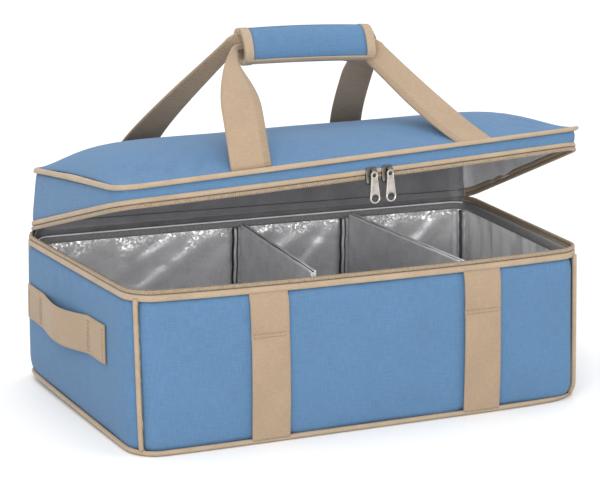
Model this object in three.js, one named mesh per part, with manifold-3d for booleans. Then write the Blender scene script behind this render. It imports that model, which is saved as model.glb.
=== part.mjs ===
// Soft-sided insulated food carrier: a padded, foil-lined case with a wedge-shaped zip lid hinged along
// the back, two webbing carry handles held together by a padded wrap grip, a grab handle at each end
// and two dividers that swing on strips sewn to the back lining.
// Millimetres. +X along the front to the right, +Y to the back, +Z up. The origin is the centre of the
// base's underside. The lid is drawn open by LID_OPEN_DEGREES.

import * as THREE from 'three';
import { mergeVertices } from 'three/addons/utils/BufferGeometryUtils.js';
import Module from 'manifold-3d';

const wasm = await Module();
wasm.setup();

// Driving dimensions: case and lid
const BAG_WIDTH = 430;
const BAG_DEPTH = 238;
const CASE_HEIGHT = 132;
const CORNER_RADIUS = 22;
const LID_FRONT_HEIGHT = 24;
const LID_REAR_HEIGHT = 51;
const LID_CROWN = 25;
const LID_CROWN_SIDE_POWER = 7;
const LID_CROWN_DEPTH_POWER = 2.4;
const LID_OPEN_DEGREES = 18.5;

// Driving dimensions: layers and seams
const FABRIC = 1.2;
const FOAM = 5;
const FOIL = 0.8;
const BASE_BOARD = 3;
const SEAM_GAP = 0.3;
const PIPING_RADIUS = 2.1;
const PIPING_PROUD = 0.5;
const PIPING_LIFT = 0.4;
const BINDING = 1;
const BINDING_HEIGHT = 14;
const BINDING_LEDGE_GAP = 0.6;

// Driving dimensions: zip and hinge
const ZIP_HALF_GAP = 0.9;
const COIL_HEIGHT = 1.7;
const COIL_PROUD = 0.3;
const TAPE_HEIGHT = 5.7;
const HINGE_HALF_GAP = 0.4;
const HINGE_PROUD = 0.3;
const HINGE_TAPE = 0.8;
const HINGE_TAPE_DROP = 3.5;
const HINGE_TAPE_HEIGHT = 12;

// Driving dimensions: zip sliders and pulls
const SLIDER_X = [14, 28.5];
const SLIDER_WIDTH = 11;
const SLIDER_ABOVE = 10.5;
const SLIDER_BELOW = 3;
const SLIDER_FRONT_PLATE = 1.4;
const SLIDER_BACK_PLATE = 1;
const SLIDER_BACK_HEIGHT = 5.2;
const SLIDER_POST_WIDTH = 6;
const SLIDER_POST_HEIGHT = 1;
const BRIDGE_REACH = 3.4;
const BRIDGE_LIFT = 7.5;
const BRIDGE_BAR_RADIUS = 0.8;
const BRIDGE_LEG = 1.2;
const PULL_LENGTH = 28.5;
const PULL_THICKNESS = 1.6;
const PULL_TOP_WIDTH = 6.2;
const PULL_TIP_WIDTH = 9.4;
const PULL_HOLE_RADIUS = 3.1;
const PULL_KNUCKLE_WALL = 0.9;
const PULL_KNUCKLE_WIDTH = 4.6;
const PULL_RUNNING_GAP = 0.4;
const PULL_HANG_DEGREES = 4;

// Driving dimensions: webbing
const WEBBING_WIDTH = 36;
const WEBBING = 1.8;
const STRAP_SPACING = 204;
const HANDLE_CENTRE_X = 10;
const SIDE_WEBBING_WIDTH = 32;
const SIDE_TAB = 35;
const SIDE_LOOP = 108;
const SIDE_BULGE = 13;
const SIDE_HANDLE_Y = 15;
const SIDE_HANDLE_Z = 76;

// Driving dimensions: carry grip, in the plane of the lid's top
const GRIP_LENGTH = 118;
const GRIP_DEPTH = 26;
const GRIP_HEIGHT = 32;
const GRIP_ROUNDING = 8;
const GRIP_FROM_FRONT = 99;
const GRIP_RISE = 93;
const GRIP_BINDING = 8;
const GRIP_FLAP = 5.2;
const GRIP_FLAP_EDGE = 6;
const GRIP_CHANNEL_GAP = 0.8;
const HOOK_STRIP = 0.8;
const HOOK_STRIP_HEIGHT = 4.6;
const HOOK_STRIP_MARGIN = 12;
const STRAP_FOOT_IN = 2.6;
const STRAP_FOOT_RISE = 1.2;
const STRAP_BEND = 16;

// Driving dimensions: dividers
const DIVIDER_THICKNESS = 6;
const DIVIDER_LENGTH = 190;
const DIVIDER_BELOW_RIM = 9;
const DIVIDER_FLOOR_GAP = 0.5;
const DIVIDER_STRIP_WIDTH = 6;
const DIVIDER_STRIP = 3;
const DIVIDER_X = [-17, 93];
const DIVIDER_TURN_DEGREES = [-3.3, 1.8];

// Facets
const CORNER_STEPS = 4;
const SIDE_STEPS = 5;
const PIPING_SIDES = 8;
const LEG_STEPS = 10;
const LOOP_STEPS = 14;
const ROUND_STEPS = 16;
const CROWN_RINGS = [1, 0.9, 0.72, 0.42];

// Layers counted inwards from the outer face of the fabric
const foamInset = FABRIC + SEAM_GAP;
const linerInset = foamInset + FOAM + SEAM_GAP;
const innerInset = linerInset + FOIL;
const bindingInset = innerInset + SEAM_GAP;
const seamInset = PIPING_RADIUS - PIPING_PROUD + SEAM_GAP;

// Levels of the base
const basePipingZ = PIPING_LIFT + PIPING_RADIUS;
const panelBottom = basePipingZ + PIPING_RADIUS + SEAM_GAP;
const boardBottom = FABRIC + SEAM_GAP;
const layerBottom = boardBottom + BASE_BOARD + SEAM_GAP;
const floorTop = layerBottom + FOIL;

// Levels of the zip, counted away from the parting plane
const coilEdge = ZIP_HALF_GAP + COIL_HEIGHT;
const tapeStart = coilEdge + SEAM_GAP;
const tapeEdge = tapeStart + TAPE_HEIGHT;
const clothStart = tapeEdge + SEAM_GAP;
const layerTop = CASE_HEIGHT - tapeStart - SEAM_GAP;
const hingeTapeBottom = CASE_HEIGHT - HINGE_TAPE_DROP - HINGE_TAPE_HEIGHT;

// Lid: its top plane falls from the back to the front, and its hinge runs along the back
const backY = BAG_DEPTH / 2;
const hingeY = backY + HINGE_PROUD;
const lidSlope = Math.atan2(LID_REAR_HEIGHT - LID_FRONT_HEIGHT, BAG_DEPTH);
const lidTopLength = Math.hypot(LID_REAR_HEIGHT - LID_FRONT_HEIGHT, BAG_DEPTH);
const clothDrop = 2 * PIPING_RADIUS + SEAM_GAP;
const panelDrop = PIPING_RADIUS - FABRIC / 2;
const foamDrop = panelDrop + FABRIC + SEAM_GAP;
const lidLinerDrop = foamDrop + FOAM + SEAM_GAP;

const HALF_TURN = Math.PI;
const QUARTER_TURN = Math.PI / 2;
const radians = THREE.MathUtils.degToRad;

const FINISHES = {
  cloth: { color: 0x6c9bcb, roughness: 0.85, metalness: 0 },
  webbing: { color: 0xc9ad86, roughness: 0.8, metalness: 0 },
  trim: { color: 0xcdb188, roughness: 0.7, metalness: 0 },
  foil: { color: 0x9a9b9e, roughness: 0.35, metalness: 0.8 },
  binding: { color: 0x5f6064, roughness: 0.6, metalness: 0.2 },
  foam: { color: 0xe8e8e4, roughness: 0.9, metalness: 0 },
  board: { color: 0xd8d8d6, roughness: 0.6, metalness: 0 },
  hook: { color: 0x2c2f33, roughness: 0.95, metalness: 0 },
  metal: { color: 0xb9b4ac, roughness: 0.35, metalness: 1 },
};

const bag = new THREE.Group();

function piece(name, geometry, finish, parent) {
  const mesh = new THREE.Mesh(geometry, new THREE.MeshStandardMaterial(FINISHES[finish]));
  mesh.name = name;
  parent.add(mesh);
  return mesh;
}

// Geometry helpers

function meshOf(positions, triangles) {
  const geometry = new THREE.BufferGeometry();
  geometry.setAttribute('position', new THREE.Float32BufferAttribute(positions, 3));
  geometry.setIndex(triangles);
  geometry.computeVertexNormals();
  return geometry;
}

// Joins rings of points, each the same closed section drawn anti-clockwise as seen from the path's
// start, into one closed solid.
function loft(rings, closed = false, startFaces = []) {
  const size = rings[0].length;
  const positions = rings.flat().flatMap((p) => [p.x, p.y, p.z]);
  const triangles = [];
  const spans = closed ? rings.length : rings.length - 1;
  for (let k = 0; k < spans; k += 1) {
    const here = k * size;
    const next = ((k + 1) % rings.length) * size;
    for (let i = 0; i < size; i += 1) {
      const j = (i + 1) % size;
      triangles.push(here + i, next + i, next + j, here + i, next + j, here + j);
    }
  }
  if (!closed) {
    const last = (rings.length - 1) * size;
    for (const [a, b, c] of startFaces) {
      triangles.push(a, b, c, last + c, last + b, last + a);
    }
  }
  return meshOf(positions, triangles);
}

// One corner of the plan as stations: a point on the outer face and the angle of its normal.
// Quadrant 0 is back right, 1 back left, 2 front left and 3 front right.
function corner(quadrant, from = 0, to = 1) {
  const start = (quadrant % 4) * QUARTER_TURN;
  const middle = start + QUARTER_TURN / 2;
  const centreX = Math.sign(Math.cos(middle)) * (BAG_WIDTH / 2 - CORNER_RADIUS);
  const centreY = Math.sign(Math.sin(middle)) * (BAG_DEPTH / 2 - CORNER_RADIUS);
  const stations = [];
  for (let i = 0; i <= CORNER_STEPS; i += 1) {
    const angle = start + QUARTER_TURN * (from + ((to - from) * i) / CORNER_STEPS);
    stations.push({
      x: centreX + CORNER_RADIUS * Math.cos(angle),
      y: centreY + CORNER_RADIUS * Math.sin(angle),
      angle,
    });
  }
  return stations;
}

const cornerShare = (length) => length / (CORNER_RADIUS * QUARTER_TURN);
const outline = [0, 1, 2, 3].flatMap((quadrant) => corner(quadrant));

// The stations of one side with its halves of the two corners, or without them.
function side(quadrant, trim) {
  const cut = cornerShare(trim);
  return [...corner(quadrant, 0.5 + cut, 1), ...corner(quadrant + 1, 0, 0.5 - cut)];
}

function straight(quadrant) {
  return [corner(quadrant).at(-1), corner(quadrant + 1)[0]];
}

// The outline with stations added along its straight sides, for slabs that curve between the corners.
const fineOutline = [0, 1, 2, 3].flatMap((quadrant) => {
  const [from, to] = straight(quadrant);
  const stations = corner(quadrant);
  for (let i = 1; i < SIDE_STEPS; i += 1) {
    const share = i / SIDE_STEPS;
    const x = THREE.MathUtils.lerp(from.x, to.x, share);
    const y = THREE.MathUtils.lerp(from.y, to.y, share);
    stations.push({ x, y, angle: from.angle });
  }
  return stations;
});

// The zip runs along the left end, the front and the right end.
const zipEnd = cornerShare(SEAM_GAP);
const zipRun = [
  ...corner(1, 0.5 + zipEnd, 1),
  ...corner(2),
  ...corner(3),
  ...corner(0, 0, 0.5 - zipEnd),
];

function inwards(station, inset, z) {
  const x = station.x - Math.cos(station.angle) * inset;
  const y = station.y - Math.sin(station.angle) * inset;
  return new THREE.Vector3(x, y, z);
}

// Sweeps a section along stations. The section gives its corners as [inset, level] for a station.
function sweep(stations, sectionAt, closed = false) {
  const ringAt = (station) => sectionAt(station).map(([inset, z]) => inwards(station, inset, z));
  const rings = stations.map(ringAt);
  const contour = sectionAt(stations[0]).map(([inset, z]) => new THREE.Vector2(-inset, z));
  return loft(rings, closed, THREE.ShapeUtils.triangulateShape(contour, []));
}

// A band between two insets and two levels; a level may be a function of the point under it.
function band(stations, outer, inner, bottom, top, closed = false) {
  const level = (value, station, inset) => {
    return typeof value === 'function' ? value(inwards(station, inset, 0).y) : value;
  };
  const sectionAt = (station) => [
    [inner, level(bottom, station, inner)],
    [outer, level(bottom, station, outer)],
    [outer, level(top, station, outer)],
    [inner, level(top, station, inner)],
  ];
  return sweep(stations, sectionAt, closed);
}

function pipingSection(level) {
  return (station) => {
    const centre = typeof level === 'function' ? level(station.y) : level;
    const points = [];
    for (let i = 0; i < PIPING_SIDES; i += 1) {
      const angle = (2 * HALF_TURN * (i + 0.5)) / PIPING_SIDES;
      const out = PIPING_PROUD + PIPING_RADIUS * Math.cos(angle);
      points.push([-out, centre + PIPING_RADIUS * Math.sin(angle)]);
    }
    return points;
  };
}

// A slab over the whole plan between two surfaces given as functions of x and y.
function slab(inset, rings, topAt, bottomAt) {
  const loop = fineOutline.map((station) => inwards(station, inset, 0));
  const count = loop.length;
  const positions = [];
  for (const surface of [topAt, bottomAt]) {
    for (const scale of rings) {
      for (const point of loop) {
        positions.push(point.x * scale, point.y * scale, surface(point.x * scale, point.y * scale));
      }
    }
    positions.push(0, 0, surface(0, 0));
  }
  const centre = rings.length * count;
  const under = centre + 1;
  const triangles = [];
  const bothFaces = (a, b, c) => triangles.push(a, b, c, under + c, under + b, under + a);
  for (let j = 0; j < count; j += 1) {
    const next = (j + 1) % count;
    for (let r = 0; r + 1 < rings.length; r += 1) {
      const outer = r * count;
      const inner = outer + count;
      bothFaces(outer + j, outer + next, inner + next);
      bothFaces(outer + j, inner + next, inner + j);
    }
    const last = centre - count;
    bothFaces(last + j, last + next, centre);
    triangles.push(under + j, under + next, next, under + j, next, j);
  }
  return meshOf(positions, triangles);
}

function box(x0, x1, y0, y1, z0, z1) {
  const geometry = new THREE.BoxGeometry(x1 - x0, y1 - y0, z1 - z0);
  geometry.translate((x0 + x1) / 2, (y0 + y1) / 2, (z0 + z1) / 2);
  return geometry;
}

function barAlongX(radius, length) {
  const geometry = new THREE.CylinderGeometry(radius, radius, length, ROUND_STEPS);
  geometry.rotateZ(QUARTER_TURN);
  return geometry;
}

// An extrusion along +X, centred on x = 0, of a profile drawn in (y, z).
function extrudeAlongX(profile, length) {
  const geometry = new THREE.ExtrudeGeometry(profile, { depth: length, bevelEnabled: false });
  geometry.translate(0, 0, -length / 2);
  geometry.rotateY(QUARTER_TURN);
  geometry.rotateX(QUARTER_TURN);
  return geometry;
}

function toSolid(geometry) {
  const plain = geometry.clone();
  plain.deleteAttribute('normal');
  plain.deleteAttribute('uv');
  const merged = mergeVertices(plain, 1e-4);
  return new wasm.Manifold(new wasm.Mesh({
    numProp: 3,
    vertProperties: new Float32Array(merged.attributes.position.array),
    triVerts: new Uint32Array(merged.index.array),
  }));
}

function fromSolid(solid) {
  const mesh = solid.getMesh();
  return meshOf(Array.from(mesh.vertProperties), Array.from(mesh.triVerts));
}

// Case: base, walls and lining

const SIDE_QUADRANTS = { front: 2, right: 3, back: 0, left: 1 };

function addBase() {
  const level = (z) => () => z;
  const boardTop = boardBottom + BASE_BOARD;
  piece('base_panel', slab(seamInset, [1], level(FABRIC), level(0)), 'cloth', bag);
  piece('base_board', slab(seamInset, [1], level(boardTop), level(boardBottom)), 'board', bag);
  piece('base_liner', slab(bindingInset, [1], level(floorTop), level(layerBottom)), 'foil', bag);
  piece('base_piping', sweep(outline, pipingSection(basePipingZ), true), 'trim', bag);
}

function addWalls() {
  for (const [name, quadrant] of Object.entries(SIDE_QUADRANTS)) {
    const clothTop = name === 'back' ? CASE_HEIGHT - HINGE_HALF_GAP : CASE_HEIGHT - clothStart;
    const cloth = side(quadrant, PIPING_RADIUS + SEAM_GAP);
    piece(`${name}_panel`, band(cloth, 0, FABRIC, panelBottom, clothTop), 'cloth', bag);
    const foam = band(straight(quadrant), foamInset, foamInset + FOAM, layerBottom, layerTop);
    piece(`${name}_foam`, foam, 'foam', bag);
    const liner = band(side(quadrant, SEAM_GAP), linerInset, innerInset, layerBottom, layerTop);
    piece(`${name}_liner`, liner, 'foil', bag);
  }
}

function addCornerPiping() {
  const names = ['back_right', 'back_left', 'front_left', 'front_right'];
  const height = CASE_HEIGHT - clothStart - panelBottom;
  names.forEach((name, quadrant) => {
    const geometry = new THREE.CylinderGeometry(PIPING_RADIUS, PIPING_RADIUS, height, PIPING_SIDES);
    geometry.rotateX(QUARTER_TURN);
    const [middle] = corner(quadrant, 0.5, 0.5);
    const rod = piece(`corner_piping_${name}`, geometry, 'trim', bag);
    rod.position.copy(inwards(middle, -PIPING_PROUD, panelBottom + height / 2));
  });
}

function addRim() {
  const tape = band(zipRun, 0, FABRIC, CASE_HEIGHT - tapeEdge, CASE_HEIGHT - tapeStart);
  piece('case_zip_tape', tape, 'trim', bag);
  const coilTop = CASE_HEIGHT - ZIP_HALF_GAP;
  const coil = band(zipRun, -COIL_PROUD, foamInset, CASE_HEIGHT - coilEdge, coilTop);
  piece('case_zip_coil', coil, 'trim', bag);
  const ledgeBottom = layerTop + SEAM_GAP;
  const ledgeTop = ledgeBottom + BINDING;
  const ledgeEdge = foamInset + SEAM_GAP + SLIDER_BACK_PLATE + BINDING_LEDGE_GAP;
  const section = () => [
    [bindingInset + BINDING, ledgeTop - BINDING_HEIGHT],
    [bindingInset, ledgeTop - BINDING_HEIGHT],
    [bindingInset, ledgeBottom],
    [ledgeEdge, ledgeBottom],
    [ledgeEdge, ledgeTop],
    [bindingInset + BINDING, ledgeTop],
  ];
  piece('rim_binding', sweep(outline, section, true), 'binding', bag);
  const outer = -SEAM_GAP - HINGE_TAPE;
  const hingeTop = CASE_HEIGHT - HINGE_TAPE_DROP;
  const hinge = band(straight(SIDE_QUADRANTS.back), outer, -SEAM_GAP, hingeTapeBottom, hingeTop);
  piece('hinge_tape', hinge, 'cloth', bag);
}

// Case: webbing

function addBodyStraps() {
  const near = backY + SEAM_GAP;
  const far = near + WEBBING;
  for (const [hand, sign] of [['left', -1], ['right', 1]]) {
    const left = HANDLE_CENTRE_X + (sign * STRAP_SPACING - WEBBING_WIDTH) / 2;
    const right = left + WEBBING_WIDTH;
    const front = box(left, right, -far, -near, panelBottom, CASE_HEIGHT - clothStart);
    piece(`front_strap_${hand}`, front, 'webbing', bag);
    const back = box(left, right, near, far, panelBottom, hingeTapeBottom - SEAM_GAP);
    piece(`back_strap_${hand}`, back, 'webbing', bag);
  }
}

// A grab handle lies flat at its two sewn tabs and bows out between them.
function addSideHandles() {
  const wall = BAG_WIDTH / 2 + SEAM_GAP;
  const bottom = SIDE_HANDLE_Z - SIDE_WEBBING_WIDTH / 2;
  const top = SIDE_HANDLE_Z + SIDE_WEBBING_WIDTH / 2;
  for (const [hand, sign] of [['left', -1], ['right', 1]]) {
    const shape = new THREE.Shape();
    const bow = [];
    for (let i = 0; i <= LOOP_STEPS; i += 1) {
      const along = i / LOOP_STEPS;
      bow.push([(along - 0.5) * SIDE_LOOP, SIDE_BULGE * Math.sin(HALF_TURN * along) ** 2]);
    }
    const path = [[-SIDE_LOOP / 2 - SIDE_TAB, 0], ...bow, [SIDE_LOOP / 2 + SIDE_TAB, 0]];
    const standOff = (depth) => ([y, out]) => {
      return new THREE.Vector2(sign * (wall + out + depth), SIDE_HANDLE_Y + y);
    };
    shape.setFromPoints([...path.map(standOff(0)), ...path.map(standOff(WEBBING)).reverse()]);
    const geometry = new THREE.ExtrudeGeometry(shape, { depth: top - bottom, bevelEnabled: false });
    geometry.translate(0, 0, bottom);
    piece(`side_handle_${hand}`, geometry, 'webbing', bag);
  }
}

// Dividers: each panel turns about the free edge of a strip sewn to the back lining

function addDividers() {
  const bottom = floorTop + DIVIDER_FLOOR_GAP;
  const top = CASE_HEIGHT - DIVIDER_BELOW_RIM;
  const stripBack = backY - innerInset - SEAM_GAP - BINDING - SEAM_GAP;
  const stripFront = stripBack - DIVIDER_STRIP;
  ['left', 'right'].forEach((hand, i) => {
    const edge = DIVIDER_X[i] - SEAM_GAP / 2;
    const strip = box(edge - DIVIDER_STRIP_WIDTH, edge, stripFront, stripBack, bottom, top);
    piece(`divider_strip_${hand}`, strip, 'binding', bag);
    const pivot = new THREE.Group();
    pivot.position.set(DIVIDER_X[i], stripFront - SEAM_GAP, 0);
    pivot.rotation.z = radians(DIVIDER_TURN_DEGREES[i]);
    bag.add(pivot);
    const near = SEAM_GAP / 2;
    const panel = box(near, near + DIVIDER_THICKNESS, -near - DIVIDER_LENGTH, -near, bottom, top);
    piece(`divider_panel_${hand}`, panel, 'foil', pivot);
  });
}

// Lid, drawn closed with its parting plane at z = 0 and then turned open about the hinge

const lidPivot = new THREE.Group();
lidPivot.position.set(0, hingeY, CASE_HEIGHT);
lidPivot.rotation.x = -radians(LID_OPEN_DEGREES);
bag.add(lidPivot);
const lid = new THREE.Group();
lid.position.set(0, -hingeY, 0);
lidPivot.add(lid);

function lidTop(y) {
  return LID_REAR_HEIGHT - Math.tan(lidSlope) * (backY - y);
}

function crown(x, y) {
  const across = 1 - Math.abs(x / (BAG_WIDTH / 2)) ** LID_CROWN_SIDE_POWER;
  const along = 1 - Math.abs(y / (BAG_DEPTH / 2)) ** LID_CROWN_DEPTH_POWER;
  return LID_CROWN * across * along;
}

const lidBelow = (drop) => (y) => lidTop(y) - drop;

function addLidShell() {
  const panelTop = (x, y) => lidTop(y) - panelDrop + crown(x, y);
  const panelUnder = (x, y) => panelTop(x, y) - FABRIC;
  const foamTop = (x, y) => panelUnder(x, y) - SEAM_GAP;
  const foamUnder = (x, y) => foamTop(x, y) - FOAM;
  piece('lid_top_panel', slab(seamInset, CROWN_RINGS, panelTop, panelUnder), 'cloth', lid);
  piece('lid_foam', slab(seamInset, CROWN_RINGS, foamTop, foamUnder), 'foam', lid);
  const linerTop = (x, y) => foamUnder(x, y) - SEAM_GAP;
  const linerUnder = (x, y) => linerTop(x, y) - FOIL;
  piece('lid_liner', slab(seamInset, CROWN_RINGS, linerTop, linerUnder), 'foil', lid);
  const liningTop = lidBelow(lidLinerDrop + FOIL + SEAM_GAP);
  const lining = band(outline, foamInset, foamInset + FOIL, tapeStart + SEAM_GAP, liningTop, true);
  piece('lid_gusset_lining', lining, 'foil', lid);
  piece('lid_gusset', band(zipRun, 0, FABRIC, clothStart, lidBelow(clothDrop)), 'cloth', lid);
  const back = band(side(SIDE_QUADRANTS.back, SEAM_GAP), 0, FABRIC, HINGE_HALF_GAP, lidBelow(clothDrop));
  piece('lid_back_gusset', back, 'cloth', lid);
  piece('lid_piping', sweep(outline, pipingSection(lidBelow(PIPING_RADIUS)), true), 'trim', lid);
  piece('lid_zip_tape', band(zipRun, 0, FABRIC, tapeStart, tapeEdge), 'trim', lid);
  piece('lid_zip_coil', band(zipRun, -COIL_PROUD, foamInset, ZIP_HALF_GAP, coilEdge), 'trim', lid);
}

// Carry handles, drawn in the plane of the lid's top: y runs back from its front edge, z stands off it

const handle = new THREE.Group();
handle.position.set(HANDLE_CENTRE_X, -backY, LID_FRONT_HEIGHT);
handle.rotation.x = lidSlope;
lid.add(handle);

const foldedWidth = WEBBING_WIDTH / 2;
const foldedThickness = 2 * WEBBING;
const strapSide = (foldedThickness + SEAM_GAP) / 2;

// One webbing handle from foot to foot. Its legs lie flat in the plane from the feet to the grip, and
// it folds to half its width where it runs through the grip.
function handleStrap(footY, sideY) {
  const gripY = GRIP_FROM_FRONT + sideY;
  const up = new THREE.Vector3(0, gripY - footY, GRIP_RISE - STRAP_FOOT_RISE).normalize();
  const along = new THREE.Vector3(1, 0, 0);
  const legFace = up.clone().cross(along).multiplyScalar(-Math.sign(up.y));
  const gripFace = new THREE.Vector3(0, -Math.sign(up.y), 0);
  const foot = new THREE.Vector3(-STRAP_SPACING / 2, footY, STRAP_FOOT_RISE);
  const entry = new THREE.Vector3(-GRIP_LENGTH / 2, gripY, GRIP_RISE);
  const knee = entry.clone().addScaledVector(along, -STRAP_BEND).addScaledVector(up, -STRAP_BEND);
  const curve = new THREE.CurvePath();
  curve.add(new THREE.LineCurve3(foot, knee));
  const turn = entry.clone().addScaledVector(along, -STRAP_BEND / 2);
  curve.add(new THREE.QuadraticBezierCurve3(knee, turn, entry));
  const points = curve.getSpacedPoints(LEG_STEPS);
  const rings = [];
  for (const sign of [1, -1]) {
    const half = points.map((point, i) => {
      const share = THREE.MathUtils.smoothstep(i / LEG_STEPS, 0.45, 0.95);
      const next = points[i + 1] ?? point.clone().add(along);
      const tangent = next.clone().sub(points[i + 1] ? points[Math.max(i - 1, 0)] : point).normalize();
      const face = legFace.clone().lerp(gripFace, share);
      face.addScaledVector(tangent, -face.dot(tangent)).normalize();
      const across = along.clone().multiplyScalar(Math.sign(up.y));
      across.lerp(tangent.clone().cross(face), share).normalize();
      across.multiplyScalar(THREE.MathUtils.lerp(WEBBING_WIDTH, foldedWidth, share) / 2);
      face.multiplyScalar(THREE.MathUtils.lerp(WEBBING, foldedThickness, share) / 2);
      const ring = [[-1, -1], [1, -1], [1, 1], [-1, 1]].map(([a, b]) => {
        return point.clone().addScaledVector(across, a).addScaledVector(face, b);
      });
      return ring.map((p) => new THREE.Vector3(sign * p.x, p.y, p.z));
    });
    rings.push(...(sign === 1 ? half : half.reverse()));
  }
  return loft(rings, false, [[0, 1, 2], [0, 2, 3]]);
}

function addHandleStraps() {
  piece('front_handle_strap', handleStrap(STRAP_FOOT_IN, -strapSide), 'webbing', handle);
  const rearFoot = lidTopLength - STRAP_FOOT_IN;
  piece('rear_handle_strap', handleStrap(rearFoot, strapSide), 'webbing', handle);
}

// Grip: a padded wrap round both straps, open at the front, where a flap hinged along its top closes it

const grip = new THREE.Group();
grip.position.set(0, GRIP_FROM_FRONT, GRIP_RISE);
handle.add(grip);

const flapInner = -GRIP_DEPTH / 2 + GRIP_FLAP;
const lipFront = flapInner + SEAM_GAP;
const channelHalfDepth = strapSide + foldedThickness / 2 + GRIP_CHANNEL_GAP;
const channelHalfHeight = foldedWidth / 2 + GRIP_CHANNEL_GAP;
const hookFront = flapInner + SEAM_GAP + HOOK_STRIP + SEAM_GAP;
const hookLip = hookFront + HOOK_STRIP + SEAM_GAP;
const gripBottom = -GRIP_HEIGHT / 2;
const gripTop = GRIP_HEIGHT / 2;
const gripBack = GRIP_DEPTH / 2;

function wrapProfile() {
  const shape = new THREE.Shape();
  shape.moveTo(lipFront, gripTop);
  shape.lineTo(lipFront, channelHalfHeight);
  shape.lineTo(channelHalfDepth, channelHalfHeight);
  shape.lineTo(channelHalfDepth, -channelHalfHeight);
  shape.lineTo(hookLip, -channelHalfHeight);
  shape.lineTo(hookLip, gripBottom);
  shape.lineTo(gripBack - GRIP_ROUNDING, gripBottom);
  shape.absarc(gripBack - GRIP_ROUNDING, gripBottom + GRIP_ROUNDING, GRIP_ROUNDING, -QUARTER_TURN, 0, false);
  shape.absarc(gripBack - GRIP_ROUNDING, gripTop - GRIP_ROUNDING, GRIP_ROUNDING, 0, QUARTER_TURN, false);
  return shape;
}

function flapProfile(bottom) {
  const shape = new THREE.Shape();
  const top = gripTop - SEAM_GAP;
  shape.moveTo(-GRIP_DEPTH / 2, bottom);
  shape.lineTo(flapInner, bottom);
  shape.lineTo(flapInner, top);
  shape.absarc(flapInner, top - GRIP_FLAP, GRIP_FLAP, QUARTER_TURN, HALF_TURN, false);
  return shape;
}

function addGrip() {
  const clothLength = GRIP_LENGTH - 2 * (GRIP_BINDING + SEAM_GAP);
  piece('grip_pad', extrudeAlongX(wrapProfile(), clothLength), 'cloth', grip);
  for (const [hand, sign] of [['left', -1], ['right', 1]]) {
    const end = piece(`grip_binding_${hand}`, extrudeAlongX(wrapProfile(), GRIP_BINDING), 'trim', grip);
    end.position.x = (sign * (GRIP_LENGTH - GRIP_BINDING)) / 2;
  }
  const stripBottom = gripBottom + SEAM_GAP;
  const stripTop = stripBottom + HOOK_STRIP_HEIGHT;
  const stripHalf = GRIP_LENGTH / 2 - HOOK_STRIP_MARGIN;
  const hook = box(-stripHalf, stripHalf, hookFront, hookFront + HOOK_STRIP, stripBottom, stripTop);
  piece('grip_hook_strip', hook, 'hook', grip);
  const loopFront = flapInner + SEAM_GAP;
  const loop = box(-stripHalf, stripHalf, loopFront, loopFront + HOOK_STRIP, stripBottom, stripTop);
  piece('grip_loop_strip', loop, 'hook', grip);
  const edgeTop = gripBottom + GRIP_FLAP_EDGE;
  piece('grip_flap', extrudeAlongX(flapProfile(edgeTop + SEAM_GAP), clothLength), 'cloth', grip);
  const whole = toSolid(extrudeAlongX(flapProfile(gripBottom), GRIP_LENGTH));
  const inner = clothLength / 2 + SEAM_GAP;
  const window = toSolid(box(-inner, inner, -GRIP_DEPTH, GRIP_DEPTH, edgeTop, GRIP_HEIGHT));
  piece('grip_flap_binding', fromSolid(whole.subtract(window)), 'trim', grip);
}

// Zip sliders and pulls: each slider clips round both coils through their parting gap

const plateFront = COIL_PROUD + SEAM_GAP + SLIDER_FRONT_PLATE;
const plateBack = foamInset + SEAM_GAP + SLIDER_BACK_PLATE;
const barOut = plateFront + BRIDGE_REACH;

function sliderGeometry() {
  const bore = BRIDGE_BAR_RADIUS + PULL_RUNNING_GAP;
  const legInner = PULL_KNUCKLE_WIDTH / 2 + PULL_RUNNING_GAP;
  const legOuter = legInner + BRIDGE_LEG;
  const plate = (width, front, back, below, above) => {
    return toSolid(box(-width / 2, width / 2, front, back, -below, above));
  };
  const frontBack = -plateFront + SLIDER_FRONT_PLATE;
  const front = plate(SLIDER_WIDTH, -plateFront, frontBack, SLIDER_BELOW, SLIDER_ABOVE);
  const backHalf = SLIDER_BACK_HEIGHT / 2;
  const back = plate(SLIDER_WIDTH, plateBack - SLIDER_BACK_PLATE, plateBack, backHalf, backHalf);
  const postHalf = SLIDER_POST_HEIGHT / 2;
  const post = plate(SLIDER_POST_WIDTH, -plateFront, plateBack, postHalf, postHalf);
  const bar = barAlongX(BRIDGE_BAR_RADIUS, 2 * legOuter);
  bar.translate(0, -barOut, BRIDGE_LIFT);
  const legs = plate(2 * legOuter, -barOut - bore, -plateFront, bore - BRIDGE_LIFT, bore + BRIDGE_LIFT);
  const slot = plate(2 * legInner, -2 * barOut, -plateFront, SLIDER_BELOW, SLIDER_ABOVE);
  const bridge = legs.subtract(slot).add(toSolid(bar));
  return fromSolid(front.add(back).add(post).add(bridge));
}

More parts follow.
